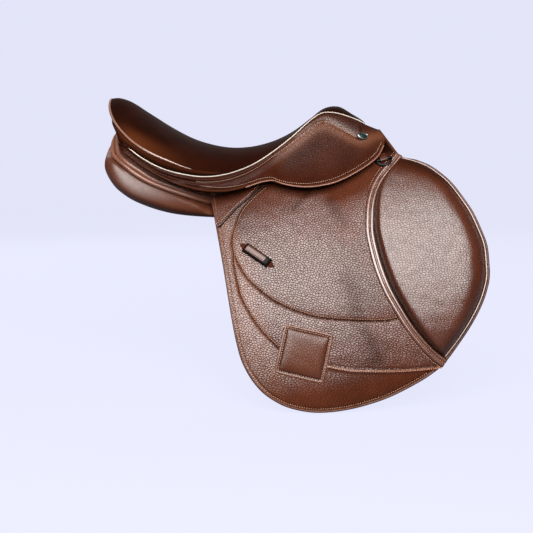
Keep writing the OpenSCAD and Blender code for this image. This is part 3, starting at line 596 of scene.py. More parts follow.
def thread(name, rows, material=THREAD, pitch=3.6, long=2.7, wide=1.1):
    """Rows of stitches. Each row is a path and the way out at its points."""
    bm = bmesh.new()
    for path, out in rows:
        run = run_of(path)
        at = np.arange(pitch / 2, run[-1], pitch)
        outs, ways = unit(read_at(at, run, out)), unit(read_at(at, run, np.gradient(path, axis=0)))
        for p, o, w in zip(read_at(at, run, path), outs, ways):
            lean = unit(w + STITCH_LEAN * unit(np.cross(o, w)))
            pose = np.eye(4)
            pose[:3, 0] = lean * long / 2 * MM
            pose[:3, 1] = np.cross(o, lean) * wide / 2 * MM
            pose[:3, 2] = o * STITCH_H * MM
            pose[:3, 3] = p * MM
            bmesh.ops.create_icosphere(bm, subdivisions=1, radius=1, matrix=Matrix(pose))
    return piece(name, bm, material)


def lay(u, v, slant=35.0, stretch=1.3):
    """Where the pebbles of a sheet lie, drawn out along a slant."""
    along, over = u * cos(slant) + v * sin(slant), v * cos(slant) - u * sin(slant)
    return columns(along / stretch, over, 0 * u) * MM


def mirrored(mesh):
    """A copy of the mesh for the other side of the saddle."""
    other = mesh.copy()
    other.transform(MIRROR)
    other.flip_normals()
    return other


def twin(obj, name):
    """The mirror image of a piece."""
    other = obj.copy()
    other.data = mirrored(obj.data)
    other.name = name
    bpy.context.scene.collection.objects.link(other)
    return other


FLAP_BEND = [flap_place(uv)[0] * MM for uv in ((20, -24), (20, 36))]
LOBE_BEND = [LOBE_BACK * MM + LOBE_M @ np.array(p) * MM for p in ((100, 12, 4), (100, -16, -1))]


def single(obj, slot, stands_for=(), body="saddle", bend=None):
    """Sets a piece on its body, or bends it between the saddle and that body."""
    if bend is None:
        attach(obj, body)
    else:
        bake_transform(obj, "saddle", body, *bend)
    if stands_for:
        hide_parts(*stands_for)


def both(obj, slot, body="saddle", bend=None, stands_for=()):
    """Sets a right-hand piece and its mirror image on their bodies."""
    name = obj.name
    obj.name = name + "_right"
    other = twin(obj, name + "_left")
    for side, one, sign in (("right", obj, 1), ("left", other, -1)):
        ends = bend and [Vector(p * [1, sign, 1]) for p in bend]
        nodes = [f"{node}_{side}" for node in stands_for]
        single(one, slot, nodes, body if body == "saddle" else f"{body}_{side}", ends)


def on_flap(obj, slot, stands_for=()):
    """Sets a piece on both flaps, where it bends at the fold."""
    both(obj, slot, "flap", FLAP_BEND, stands_for)


# Seat. Its top runs from the crest of the cantle, and a wall hangs from that crest

TOP_LIFT = [0.5, 0.5, 3.5, 4.5, 5, 3, 1, 0, 2, 3, -2, -9, -4.5, 0]
TOP_MID = np.vstack([[(-255.5, 198.5)], SEAT_MID[3:] + np.outer(TOP_LIFT, [0, 1])])
TOP_RIM = np.vstack([
    [(-224.7, 96, 141), (-206, 113, 124.8), (-180, 127.5, 108.6), (-147, 134.7, 93.9), (-104, 132.5, 79)],
    SEAT_EDGE[7:] + [0, 0.6, -1.6]])
TOP_LAST = len(TOP_MID) - 1
CREST_FRONT, FOOT_FRONT = 4.7, 6.75
SIDE_STEPS, BACK_T = 60, np.linspace(-1, 0, 50)[1:]


def top_place(r, t):
    """Places on the seat's top: r counts rows from the crest, t is -1 at the right edge."""
    r, t = pair(r, t)
    m, e, k = through(TOP_MID, r), through(TOP_RIM, r), abs(t)
    front = ease(r, 0, 3)
    round_back = ((k * k + 0.004) / 1.004) ** (0.8 + 0.3 * front)
    fall = (1 - 0.2 * front) * round_back + 0.2 * front * k ** 10
    z = m[:, 1] + (e[:, 2] - m[:, 1]) * fall + 2.4 * dip(r - 0.45, 0.4) * (1 - k * k)
    return columns(m[:, 0] + (e[:, 0] - m[:, 0]) * k ** 3, e[:, 1] * t, z)


def top_out(r, t):
    """Way out of the top of the seat."""
    along = top_place(np.minimum(r + 0.02, TOP_LAST), t) - top_place(np.maximum(r - 0.02, 0), t)
    over = top_place(r, np.minimum(t + 0.02, 1)) - top_place(r, np.maximum(t - 0.02, -1))
    return unit(np.cross(along, over))


def wall_foot():
    """Lower edge of the wall on the right, point for point under the crest."""
    side, k = np.linspace(FOOT_FRONT, 0, SIDE_STEPS), abs(BACK_T)
    back = columns(-249 + 25 * k ** 2.6, 0.85 * HALF_W * BACK_T, 166 - 40 * seat_fall(k))
    tuck = 3.5 * ease(FOOT_FRONT - side, 0, 2.5)[:, None]
    return np.vstack([through(RIGHT_EDGE, side) + tuck * [0, 1, 0] - [0, 0, 1.6], back * [1, 0.97, 1]])


# Crest and foot of the wall, from the front on the right to the middle of the back
CREST = np.vstack([top_place(np.linspace(CREST_FRONT, 0, SIDE_STEPS), -1.0), top_place(0.0, BACK_T)])
FOOT = wall_foot()


def seat_cover():
    def place(a, b):
        r, t = TOP_LAST * a, np.sin(np.pi * (b - 0.5)) * 0.45 + (2 * b - 1) * 0.55
        spots, edge = top_place(r, t), 1 - abs(t)
        lift = 0.8 * rough(spots, 80, 3) * ease(edge, 0.02, 0.2) * ease(r, 0, 1)
        inside = edge * through(TOP_RIM, r)[:, 1]
        # Painted light: a warm glow near the crest, where light falls on the seat; the seat is also darker
        # along its side edges at the front
        glow = 0.5 * dip(inside - 4, 15) * ease(4.4 - r, 0, 3.0) * ease(r, -0.2, 1.2)
        shade_and_seams = 0.5 * dip(edge, 0.012) * ease(r, 4, 6)
        return spots + lift[:, None] * top_out(r, t), {"shade_and_seams": shade_and_seams, "wear_and_painted_light": glow}

    obj = sheet("seat_skin", (190, 110), place, SEAT, UP, thick=2.5)
    single(obj, "seat_leather", ["seat_cover"])

    def stuff(a, b):
        r, t = 0.25 + (TOP_LAST - 0.6) * a, 0.9 * (2 * b - 1)
        return top_place(r, t) - 4.0 * top_out(r, t), {}

    obj = sheet("seat_stuffing", (60, 30), stuff, FOAM, UP, thick=14, edge=2)
    single(obj, "foam", ["seat_foam"])

    crest, foot = over_both(CREST), over_both(FOOT)
    steps = len(crest) - 1

    def hang(a, b):
        i = np.rint(a * steps).astype(int)
        spots = crest[i] + (foot[i] - crest[i]) * b[:, None]
        out = unit((spots - [-90, 0, 0]) * [1, 1, 0])
        # The wall is painted darker at its foot, as shade where it meets the piping, and paler across the
        # middle
        marks = {"shade_and_seams": 0.6 * dip(b - 1, 0.12), "wear_and_painted_light": 0.3 * dip(b - 0.4, 0.3), "dull": 0.8 + 0 * a}
        return spots + 1.2 * np.sin(np.pi * b)[:, None] * out, marks

    single(sheet("cantle_wall", (steps, 12), hang, SEAT, BACKWARD, thick=2.2), "seat_leather")
    inward = unit(([-60, 0, 0] - crest) * [1, 1, 0])
    path = even((crest + 0.7 * inward - [0, 0, 1.1])[::3], 2.5)
    radius = 2.1 * ease(from_ends(path), 4, 46)
    # The crest's welt is pale, partly as a painted highlight
    single(tube("cantle_crest", path, radius, WELT_HIGHLIGHT, sides=12), "seat_leather")


def seat_piping():
    s = np.linspace(LAST, 1.3, 150)
    right = even((through(RIGHT_EDGE, s) + 4.2 * skirt_dir(s) + 0.8 * skirt_out(s))[::5], 2.2)
    obj = tube("seat_piping_right", right, 0.9, CREAM)
    other = twin(obj, "seat_piping_left")
    single(obj, "piping", ["seat_welt"])
    single(other, "piping")
    back = over_both(np.vstack([right[-3:] + [0.4, 1.0, 0.3], FOOT[58::6] - [0, 0, 2.2]]))
    single(tube("cantle_piping", even(back, 2.4), 1.9, SEAT), "seat_leather")


# Skirts. s counts the points of the seat's edge from the back

SEAM_DOWN = np.array([
    (0, 5), (2, 5.5), (4, 7.5), (6, 9), (7, 9.5), (7.9, 8.5), (8.55, 7), (9.35, 8.2), (10, 10), (10.8, 12.8),
    (11.5, 13.8), (12.2, 17.2), (13, 25.8), (13.9, 32.5), (14.6, 36.5), (15.2, 35), (16, 26), (17, 9)])
LOBE_U = [(9, 19), (10, 56), (11, 88), (12, 112), (13, 139), (14, 161), (15, 180), (16, 200), (17, 214.5)]
SEWN_FROM, SEWN_TO = 5.5, 15.0


def skirt_lines(s):
    """Top, middle and lower edge of the skirt at s."""
    top = through(SKIRT_TOP, s) + 5.2 * skirt_dir(s) + 0.4 * skirt_out(s)
    fold = through(SKIRT_FOLD, s)
    u = graph(LOBE_U, s)
    v = np.interp(u, *even(LOBE_EDGE, 2).T)
    front = ease(s, 8, 9.2)[:, None]
    low = (1 - front) * fold + front * lobe_place(u, v)
    mid = (1 - front) * ((top + fold) / 2 + 1.5 * skirt_out(s)) + front * lobe_place(u, 0 * u, 1.0)
    return top, mid, low


def skirts():
    def place(a, b):
        s = (LAST + 1) * a
        top, mid, low = skirt_lines(s)
        q = 2 * b[:, None]
        t = q - np.floor(np.minimum(q, 1.999))
        first = q < 1
        p0, p1 = np.where(first, top, mid), np.where(first, mid, low)
        m0 = np.where(first, mid - top, (low - top) / 2)
        m1 = np.where(first, (low - top) / 2, low - mid)
        spots = (p0 * (1 + 2 * t) * (1 - t) ** 2 + p1 * (3 - 2 * t) * t ** 2
                 + m0 * t * (1 - t) ** 2 - m1 * t ** 2 * (1 - t))
        depth = length(spots - top)
        rest = length(low - spots)
        seam = np.interp(s, *SEAM_DOWN.T)
        roll = np.clip(depth / seam, 0, 1)
        sewn, front, ridged = ease(15.3 - s, 0, 0.4), ease(s, 8.7, 10), ease(7.4 - s, 0, 1.6)
        hem = 5.5 + 2 * front
        lift = 2.4 * np.sin(np.pi * roll) ** 0.8 * sewn - 1.1 * dip(depth - seam, 1.8) * sewn
        lift += 0.5 * rough(spots, 45, 9) - 0.7 * dip(rest - hem, 1.6) + 0.5 * dip(rest - 2.5, 2)
        lift += 4.5 * front * dip(rest, 16) * ease(depth + rest, 8, 30)
        lines = ridged * ease(depth, 1, 4) * (0.5 - 0.5 * np.cos(2 * np.pi * depth / 4.4))
        lift += 0.9 * lines
        # Dark seam and hem lines, and painted shade in the rear grooves, under the piping at the top and at
        # the very edge
        shade_and_seams = (0.8 * dip(depth - seam, 1.2) * sewn + 0.5 * ridged * dip(lines, 0.3)
                  + 0.7 * dip(depth, 1.6) + 0.5 * dip(rest - hem, 1.1) + 0.6 * dip(rest, 0.8))
        # A pale line near the edge, partly the leather's own edge, and a painted sheen on the upper lobe
        wear_and_painted_light = 0.12 * dip(rest - 2.4, 1.2) + 0.32 * front * dip(depth - seam - 7, 13)
        dull = 0.72 * ease(depth - seam, 8, 24) + 0.75 * ease(10 - s, 0, 2)
        marks = {"shade_and_seams": np.clip(shade_and_seams, 0, 1), "wear_and_painted_light": wear_and_painted_light, "lay": lay(spots[:, 0], depth), "dull": dull}
        return spots + np.clip(lift, -2, 8)[:, None] * skirt_out(s), marks

    obj = sheet("skirt_skin", (230, 40), place, SKIRT, (0, -1, 0.4), thick=5, edge=1.2)
    both(obj, "leather", "skirt_lobe", LOBE_BEND, ["skirt", "skirt_lobe"])

    s = np.linspace(0.3, LAST + 0.45, 260)
    out, front = skirt_out(s), ease(s, 8.7, 10)
    top, mid, low = skirt_lines(s)
    seam = top + np.interp(s, *SEAM_DOWN.T)[:, None] * unit(mid - top) + 0.2 * out
    held = (s > SEWN_FROM) & (s < SEWN_TO)
    both(thread("skirt_seam_thread", [(seam[held], out[held])]), "piping")
    rolled = (low + (4.9 * front - 0.3)[:, None] * out)[s > 7.5]
    obj = tube("skirt_edge_roll", even(rolled[::3], 2.2), 1.2, ROLL)
    both(obj, "leather", "skirt_lobe", LOBE_BEND)
    inner = low + (5.5 + 2 * front + 3.5 * dip(s - 5.8, 1.2))[:, None] * unit(mid - low)
    hem = inner + (0.5 + 3.4 * front)[:, None] * out
    held = s > SEWN_FROM
    obj = thread("skirt_edge_thread", [(hem[held], out[held])])
    both(obj, "piping", "skirt_lobe", LOBE_BEND)


# Flaps. Their lines are drawn on the flap: along the fold, and down from it

FLAP_REAR = np.array([
    (-147, -54), (-150, -22), (-153, 9), (-157, 48), (-162, 93), (-168, 141), (-172, 177), (-174, 203),
    (-174, 231), (-168, 260), (-156, 286)])
FLAP_LOW = np.array([
    (-156, 286), (-136, 309), (-116, 323), (-93, 334), (-68, 341), (-39, 345.5), (-10, 347), (23, 346),
    (57, 341), (92, 333), (122, 321), (153, 299), (178, 279)])
FLAP_FRONT = np.array([
    (155, -80), (162, -45), (169, -19), (187, -6), (204, 10), (216, 28), (227, 51), (235, 80), (241, 109),
    (243, 138), (243, 166), (237, 192), (229, 217), (215, 240), (199, 259), (178, 279)])
FLAP_TOP = np.array([
    (-147, -54), (-120, -64), (-60, -59), (-36, -50), (-8, -34), (45, -23), (86, -20), (108, -42),
    (128, -78), (155, -80)])
FLAP_RIM = np.vstack([even(FLAP_REAR, 4), even(FLAP_LOW, 4), even(FLAP_FRONT, 4)[::-1]])
BAND = np.array([
    (166, -22), (145, -7), (124, 8), (106, 27), (93, 48), (83, 72), (75, 98), (71, 131), (70, 161),
    (72, 192), (78, 223), (86, 254), (98, 284), (110, 306), (122, 322)])
BAND_HALF, BAND_H = 7.3, 3.2
SEAM_ARC = np.array([
    (-58, -36), (-79, -25), (-98, -13), (-111, -1), (-122, 15), (-132, 31), (-138, 48), (-139, 66),
    (-136, 87), (-129, 111), (-116, 134), (-101, 155), (-82, 173), (-68, 184), (-41, 201), (2, 218),
    (52, 234), (75, 236)])
SEAM_REAR = np.array([
    (-139, 60), (-144, 80), (-147, 108), (-148, 134), (-143, 161), (-135, 189), (-125, 210), (-113, 232)])
SEAM_LOW = np.array([(-52, 273), (-19, 289), (15, 300), (50, 310), (85, 318), (116, 324)])
# Bands of painted shade on the flap: line, width and depth
SHADE_BANDS = (
    ([(15, 158), (19, 190), (14, 216)], 14, 0.34), ([(18, 242), (25, 262), (24, 286)], 11, 0.40),
    ([(-27, 20), (5, -2)], 5, 0.4), ([(31, 24), (41, 66)], 9, 0.3))


def patch(a, b):
    """Places on the flap between its four edges."""
    top, low = line(FLAP_TOP, a), line(FLAP_LOW, a)
    rear, front = line(FLAP_REAR, b), line(FLAP_FRONT, b)
    a, b = a[:, None], b[:, None]
    corners = ((1 - a) * ((1 - b) * FLAP_TOP[0] + b * FLAP_LOW[0])
               + a * ((1 - b) * FLAP_TOP[-1] + b * FLAP_LOW[-1]))
    return (1 - b) * top + b * low + (1 - a) * rear + a * front - corners


def flap_lift(uv):
    """Height of the flap's face over the frame's, and the marks on it."""
    u, v = uv.T
    rim = off_line(uv, FLAP_RIM)
    seam = np.minimum(off_line(uv, even(SEAM_ARC, 4)), off_line(uv, even(SEAM_REAR, 4)))
    puff = 1.0 - np.exp(-np.minimum(seam, rim) / 16)
    below = v - np.interp(u, *SEAM_LOW.T)
    low_seam = ease(u, -58, -48) * ease(125 - u, 0, 8)
    welt = 1.9 * dip(below - 2.6, 2.8) - 0.8 * dip(below + 1.4, 1.6)
    lift = 1.8 * puff - 1.4 * dip(seam, 1.9) + low_seam * welt
    lift += 0.7 * rough(uv, 60, 2) + 0.35 * rough(uv, 17, 5) - 0.8 * dip(rim - 5, 1.4)
    creased = dip(u - 20, 55) * ease(v, 228, 250) * ease(318 - v, 0, 20)
    streak = rough(uv * [1, 0.12], 5, 4)
    lift += 0.45 * creased * streak

    # Painted shade in the seam grooves and wrinkles, beside the band, along the rim, at the front top, under
    # the skirt at the top and at the bottom; the seams are dark as well
    shade_and_seams = (0.9 * dip(seam, 1.4) + 0.22 * dip(seam, 5) + 0.7 * dip(rim - 5, 1.0)
              + 0.8 * dip(below + 1.0, 1.1) * low_seam)
    for points, width, depth in SHADE_BANDS:
        shade_and_seams += depth * dip(off_line(uv, even(points, 6)), width)
    band = off_line(uv, even(BAND, 6)) - BAND_HALF
    shade_and_seams += 0.14 * creased * np.maximum(streak, 0) + 0.5 * dip(band, 2.2) + 0.10 * dip(rim, 14)
    shade_and_seams += 0.85 * ease(-18 - v, 0, 20) * ease(u, 95, 115)
    shade_and_seams += 0.16 * ease(v, 315, 345) + 0.16 * ease(40 - v, 0, 50)
    # Painted highlights along the rim, on the welt below the low seam and beside the seams, and a painted
    # sheen at the rear; the rim is partly worn as well
    wear_and_painted_light = 0.30 * dip(rim - 2, 2) * ease(190 - u, 0, 30) + 0.6 * dip(below - 1.8, 1.6) * low_seam
    wear_and_painted_light += 0.18 * dip(seam - 2.6, 1.2) + 0.16 * ease(-112 - u, 0, 20) * ease(330 - v, 0, 60)
    dull = ease(v - 0.14 * u, 290, 328) + 0.5 * ease(45 - v, 0, 70) * ease(u, -135, -75)
    dull += 0.05 * ease(u, -130, -80) + 0.25 * dip(u - 45, 40)
    dull += 0.7 * ease(62 - v, 0, 50) * ease(u, 10, 50)
    return lift, {"shade_and_seams": np.clip(shade_and_seams, 0, 1), "wear_and_painted_light": wear_and_painted_light, "dull": np.clip(dull, 0, 1)}


def flap_row(path, lift):
    """A row for stitches on the flap."""
    return flap_place(path, lift), flap_out(path)


def flaps():
    def place(a, b):
        uv = patch(a, b)
        lift, marks = flap_lift(uv)
        return flap_place(uv, lift), {**marks, "lay": lay(*uv.T)}

    obj = sheet("flap_skin", (208, 204), place, GRAIN, OUTWARD, FLAP_T, edge=1)
    on_flap(obj, "grain_leather", ["flap", "flap_top"])

    edge = beside(even(np.vstack([FLAP_REAR[1:], FLAP_LOW[1:-1], FLAP_FRONT[:2:-1]]), 3), 1.0)
    on_flap(tube("flap_edge_roll", flap_place(edge, -1.0), 1.8, SMOOTH), "grain_leather")

    rim = even(np.vstack([FLAP_REAR, FLAP_LOW[1:-3]]), 3)
    rows = []
    for path, raised in ((beside(rim, 5.0), 0.0), (beside(even(SEAM_ARC, 3), 2.4), 0.0),
                         (beside(even(SEAM_REAR, 3), 2.4), 0.0), (even(SEAM_LOW, 3) + [0, 3.0], 0.1)):
        path = path[path[:, 1] > -45]
        rows.append(flap_row(path, flap_lift(path)[0] + raised))
    on_flap(thread("flap_thread", rows), "piping")


def cushion(name, size, place, material):
    """A raised piece on the flap, with its rim drawn down into the leather."""
    bm = grid(*size, place)
    rim = [e for e in bm.edges if e.is_boundary]
    skirt = verts_of(bmesh.ops.extrude_edge_only(bm, edges=rim)["geom"])
    inward = Vector(-flap_out((100, 150))[0])
    bmesh.ops.translate(bm, verts=skirt, vec=inward * 2.0 * MM)
    return piece(name, bm, material, OUTWARD)


def across(rear, front, a, b):
    """Places at share a of the way from rear to front line, and the ends of that way."""
    back, fore = line(rear[::3], b), line(front[::3], b)
    return back + (fore - back) * a[:, None], back, fore


def knee_blocks():
    rear = beside(even(BAND, 3), BAND_HALF - 0.3)
    front = beside(even(np.vstack([FLAP_FRONT[2:], [(153, 299), (127, 317)]]), 3), -4.6)

    def pad(a, b):
        uv, back, fore = across(rear, front, a, b)
        width = length(fore - back)
        crown = 24 * (1 - np.exp(-width / 25))
        rise = 1 - np.exp(-a * width / 2.3)
        fall = 1 - np.exp(-((1 - a) * width / 14) ** 1.6)
        end = np.minimum(b, 1 - b)
        lift = crown * rise * fall + 1.0
        firm = ease(a, 0.02, 0.15) * ease(1 - a, 0.02, 0.15) * ease(end, 0.01, 0.1)
        lift += firm * (0.6 * rough(uv, 48, 7) + 0.22 * rough(uv, 16, 1))
        shade = ease(0.15 - b + 0.17 * a, 0, 0.15)
        # Painted shade beside the band, along the front rim and over the top
        shade_and_seams = 0.8 * dip(a * width, 2.2) + 0.5 * dip((1 - a) * width, 3.0) + 0.74 * shade
        dull = 0.8 * ease(0.21 - b + 0.27 * a, 0, 0.25) + 0.45 * shade
        return flap_place(uv, lift), {"shade_and_seams": shade_and_seams, "dull": dull, "lay": lay(*uv.T, 10)}

    obj = cushion("knee_block_pad", (110, 190), pad, BLOCK)
    on_flap(obj, "block_leather", ["knee_block"])
    on_flap(tube("block_piping", flap_place(beside(front, -0.4), 2.4), 1.8, EDGING), "leather")

    def cords(a, b):
        way = unit(line(BAND, np.minimum(a + 0.004, 1)) - line(BAND, np.maximum(a - 0.004, 0)))
        x = 2 * b - 1
        uv = line(BAND, a) + (x * BAND_HALF)[:, None] * sideways(way)
        height = np.maximum(1 - ((abs(x) - 0.48) / 0.52) ** 2, 0) ** 0.5
        # The band's long edges are painted darker, as shade where the band meets the flap
        return flap_place(uv, BAND_H * height + 0.3), {"shade_and_seams": 0.7 * dip(abs(x) - 1, 0.12)}

    on_flap(cushion("block_band", (220, 18), cords, EDGING), "grain_leather", ["block_welt"])
    rows = [flap_row(beside(even(BAND, 3), shift), raised)
            for shift, raised in ((-BAND_HALF - 1.4, 1.6), (0, 1.4))]
    on_flap(thread("band_thread", rows), "piping")


def overlays():
    rear = beside(even([(-147, -50), (-150, -22), (-152, 2), (-153, 9)], 3), 0.4)
    front = even([(-58, -41), (-87, -24), (-114, -10), (-129, 0), (-142, 9), (-149, 12.5), (-152.5, 11.5)], 3)

    def place(a, b):
        uv, _, fore = across(rear, front, a, b)
        edge = length(fore - uv)
        lift = 2.6 + 0.5 * rough(uv, 40, 4) - 0.6 * dip(edge - 4, 1.3) - 0.7 * dip(edge, 1.4)
        # Darker along the stitch line, and at the front edge partly as painted shadow
        shade_and_seams = 0.5 * dip(edge - 4, 1.0) + 0.5 * dip(edge, 1.2)
        return flap_place(uv, lift), {"shade_and_seams": shade_and_seams, "lay": lay(*uv.T), "dull": 0.55 + 0 * a}

    obj = sheet("flap_overlay", (60, 60), place, GRAIN, OUTWARD, thick=2.6, edge=0.7)
    on_flap(obj, "leather", ["flap_tab"])
    rows = [flap_row(path, 2.4) for path in (beside(front, -4.0)[2:-3], beside(rear, 4.6)[2:-2])]
    on_flap(thread("overlay_thread", rows), "piping")
    on_flap(tube("overlay_roll", flap_place(beside(rear, 0.6)[1:], 1.7), 1.6, EDGING), "leather")
    # The black front edge is partly the dyed edge and partly a painted shadow of the overlay on the flap
    on_flap(tube("overlay_edge", flap_place(front[2:-1], 1.4), 1.1, EDGE, sides=8), "leather")


GUARD_AT, GUARD_TURN, GUARD_W, GUARD_HEM = np.array([-80.5, 246.5]), 29.5, 77.0, 5


def guard_uv(x, y):
    """Places on the guard from -1 to 1 each way, with rounded corners."""
    r = 1 - 0.045 * (abs(x) * abs(y)) ** 6
    x, y = x * r * GUARD_W / 2, y * r * GUARD_W / 2
    c, n = cos(GUARD_TURN), sin(GUARD_TURN)
    return GUARD_AT + columns(x * c - y * n, x * n + y * c)


def guards():
    def puffed(x):
        return 1 - np.exp(-np.maximum((1 - abs(x)) * GUARD_W / 2 - GUARD_HEM, 0) / 6)

    def place(a, b):
        x, y = 2 * a - 1, 2 * b - 1
        uv = guard_uv(x, y)
        edge = (1 - np.maximum(abs(x), abs(y))) * GUARD_W / 2
        inside = puffed(x) * puffed(y)
        lift = 2.2 + 4.2 * inside + 0.9 * ease(edge, 0, 2) - 1.1 * dip(edge - GUARD_HEM, 1.5)
        lift += 0.4 * rough(uv, 25, 6)
        # Painted highlights along the raised edges, a warmer tint inside, and a dark hem line
        wear_and_painted_light = 0.5 * dip(edge - 1.5, 1.6) + 0.15 * inside
        return flap_place(uv, lift), {"shade_and_seams": 0.8 * dip(edge - GUARD_HEM, 1.1), "wear_and_painted_light": wear_and_painted_light,
                                      "dull": 0.7 * inside, "lay": lay(*uv.T, 80)}

    obj = sheet("guard_skin", (70, 70), place, BLOCK, OUTWARD, thick=3.4, edge=0.9)
    both(obj, "grain_leather", "flap", None, ["guard"])
    k = 1 - 2 * GUARD_HEM / GUARD_W
    side = np.linspace(-k, k, 30)
    still = k + 0 * side
    rows = [flap_row(guard_uv(x, y), 2.5)
            for x, y in ((side, -still), (still, side), (-side, still), (-still, -side))]
    both(thread("guard_thread", rows), "piping", "flap")


def keepers():
    low, high = np.array([-119.0, 59.5]), np.array([-91.0, 96.5])
    way = unit(high - low)
    side = np.array([way[1], -way[0]])
    mid, half = (low + high) / 2, np.linalg.norm(high - low) / 2

    def spot(x, y, lift):
        return flap_place(mid + x[:, None] * way + y[:, None] * side, lift)

    def strap(a, b):
        x = (2 * a - 1) * (half + 11)
        width = 5.2 * (1 - 0.93 * ease(abs(x), half + 1, half + 11.5))
        # The tabs are darker all over
        return spot(x, (2 * b - 1) * width, 2.8 + 0 * x), {"dull": 1 + 0 * x, "shade_and_seams": 0.25 + 0 * x}

    def sleeve(a, b):
        x, y = 2 * a - 1, 2 * b - 1
        body = (1 - abs(x) ** 8) ** 0.4 * (1 - abs(y) ** 4) ** 0.4
        return spot(x * (half + 1), y * 8.0, 2.0 + 6.6 * body), {}

    def face(a, b):
        x, y = -half + 3.5 + (2 * half - 11) * a, 2 * b - 1
        return spot(x, 5.3 * y, 9.3 - 0.8 * abs(y) ** 4), {"shade_and_seams": 0.5 * dip(abs(y) - 0.62, 0.1)}

    # The black loop shows as an outline round the face, partly dark edges and partly painted shade in the
    # gaps beside it
    for name, place, size, material, thick, node in (
            ("keeper_strap", strap, (60, 8), SMOOTH, 1.6, []),
            ("keeper_loop", sleeve, (50, 24), EDGE, 1.6, ["keeper"]),
            ("keeper_face", face, (40, 20), PANEL, 0.9, [])):
        obj = sheet(name, size, place, material, OUTWARD, thick, edge=0.4)
        both(obj, "leather", "flap", None, node)
    x = np.linspace(-half + 4, half - 8, 20)
    rows = [(spot(x, y + 0 * x, 9.2), flap_out(mid) + 0 * x[:, None]) for y in (-3.5, 3.5)]
    both(thread("keeper_thread", rows, EDGE, pitch=3.0, long=2.2, wide=0.9), "piping", "flap")


# Panels, the rolls above them and the leather behind these

def panels():
    seam = even(ROLL_LOW + [0, -3, -4], 5)

    def place(a, b):
        s = PANEL_LAST * a
        spots, centre = panel_place(s, 360 * b), through(PANEL_ROWS, s)
        near = off_line(spots, seam)
        out = unit(spots - columns(spots[:, 0], -centre[:, 0], centre[:, 1]))
        ends = ease(np.minimum(s, PANEL_LAST - s), 0, 0.7)
        lift = ends * (rough(spots, 75, 8) - 1.2 * dip(near, 3.0))
        # Painted shade along the seam under the roll
        marks = {"shade_and_seams": 0.55 * dip(near, 2.0), "dull": 0.8 * ease(spots[:, 0], -226, -125)}
        return spots + lift[:, None] * out, marks

    obj = piece("panel_pad", closed(grid(150, 72, place)), PANEL)
    both(obj, "panel_leather", stands_for=["panel"])

    for name, points, radius in (("cantle_roll", ROLL_MID, 4.3), ("panel_roll", ROLL_LOW, 3.8)):
        path = over_both(even(points[::-1], 3))
        obj = tube(name, path, radius * ease(from_ends(path), -2, 8), ROLL, sides=14)
        single(obj, "panel_leather")

    upper = over_both(even(FOOT[10::6], 3) * [0.985, 0.985, 1])
    lower = over_both(even(ROLL_MID[10::-1], 3))

    def hang(a, b):
        b = b[:, None]
        return line(upper[::4], a) * (1 - b) + line(lower[::4], a) * b, {}

    obj = sheet("cantle_back", (200, 10), hang, PANEL, BACKWARD, thick=2)
    single(obj, "leather", ["cantle_facing"])


# Pieces that keep the frame's own shape, with their edges rounded

def fine(node, name, material, bevel):
    """A copy of one of the frame's nodes with rounded edges."""
    bm = bmesh.new()
    bm.from_mesh(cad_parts[node].data)
    bmesh.ops.remove_doubles(bm, verts=bm.verts, dist=2 * JOIN)
    bmesh.ops.dissolve_limit(bm, angle_limit=math.radians(1.0), verts=bm.verts, edges=bm.edges)
    sharp = [e for e in bm.edges if len(e.link_faces) == 2 and e.calc_face_angle() > math.radians(40)]
    bmesh.ops.bevel(bm, geom=sharp, offset=bevel * MM, segments=2, profile=0.5, affect="EDGES",
                    clamp_overlap=True, material=-1)
    bmesh.ops.recalc_face_normals(bm, faces=bm.faces)
    obj = piece(name, bm, material)
    obj.data.set_sharp_from_angle(angle=math.radians(38))
    return obj


TURNING = ("strap_front", "strap_rear", "bar_catch", "dee")
# Node, material, slot and width of its rounded edges
KEPT = (
    ("tree", SHELL, "tree", 0.8), ("gullet_plate", STEEL, "steel", 0.5), ("head_rivets", STEEL, "steel", 0.3),
    ("seat_webs", WEB, "webbing", 0.2), ("pommel_facing", SEAT, "leather", 0.8),
    ("strap_rivets", BRASS, "brass", 0.3), ("catch_pins", STEEL, "steel", 0.25),
    ("dee_chapes", SMOOTH, "leather", 0.5), ("sweat_flap", SMOOTH, "leather", 0.9),
    ("girth_web", WEB, "webbing", 0.3), ("strap_front", SMOOTH, "leather", 0.7),
    ("strap_rear", SMOOTH, "leather", 0.7), ("stirrup_bar", STEEL, "steel", 0.8),
    ("bar_catch", STEEL, "steel", 0.6), ("dee", SHADED_METAL, "brass", 0.1))


def kept_shapes():
    for node, material, slot, bevel in KEPT:
        for side in [""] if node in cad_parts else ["_right", "_left"]:
            obj = fine(node + side, f"{node}_fine{side}", material, bevel)
            single(obj, slot, [node + side], body=node + side if node in TURNING else "saddle")


STUD_S, STUD_DOWN, STUD_OUT, STUD_SLANT = 15.22, 32.5, 0.8, 12
STUD_SIZE, STUD_OVAL, ENAMEL_R = 1.2, 0.58, 7.1
STUD_PROFILE = [
    (0, 3.4), (2.6, 3.3), (4.6, 2.9), (5.7, 2.3), (6.0, 1.7), (6.5, 2.6), (7.6, 3.2), (9.0, 3.1), (10.1, 2.2),
    (10.6, 0.8), (10.6, -1.0)]


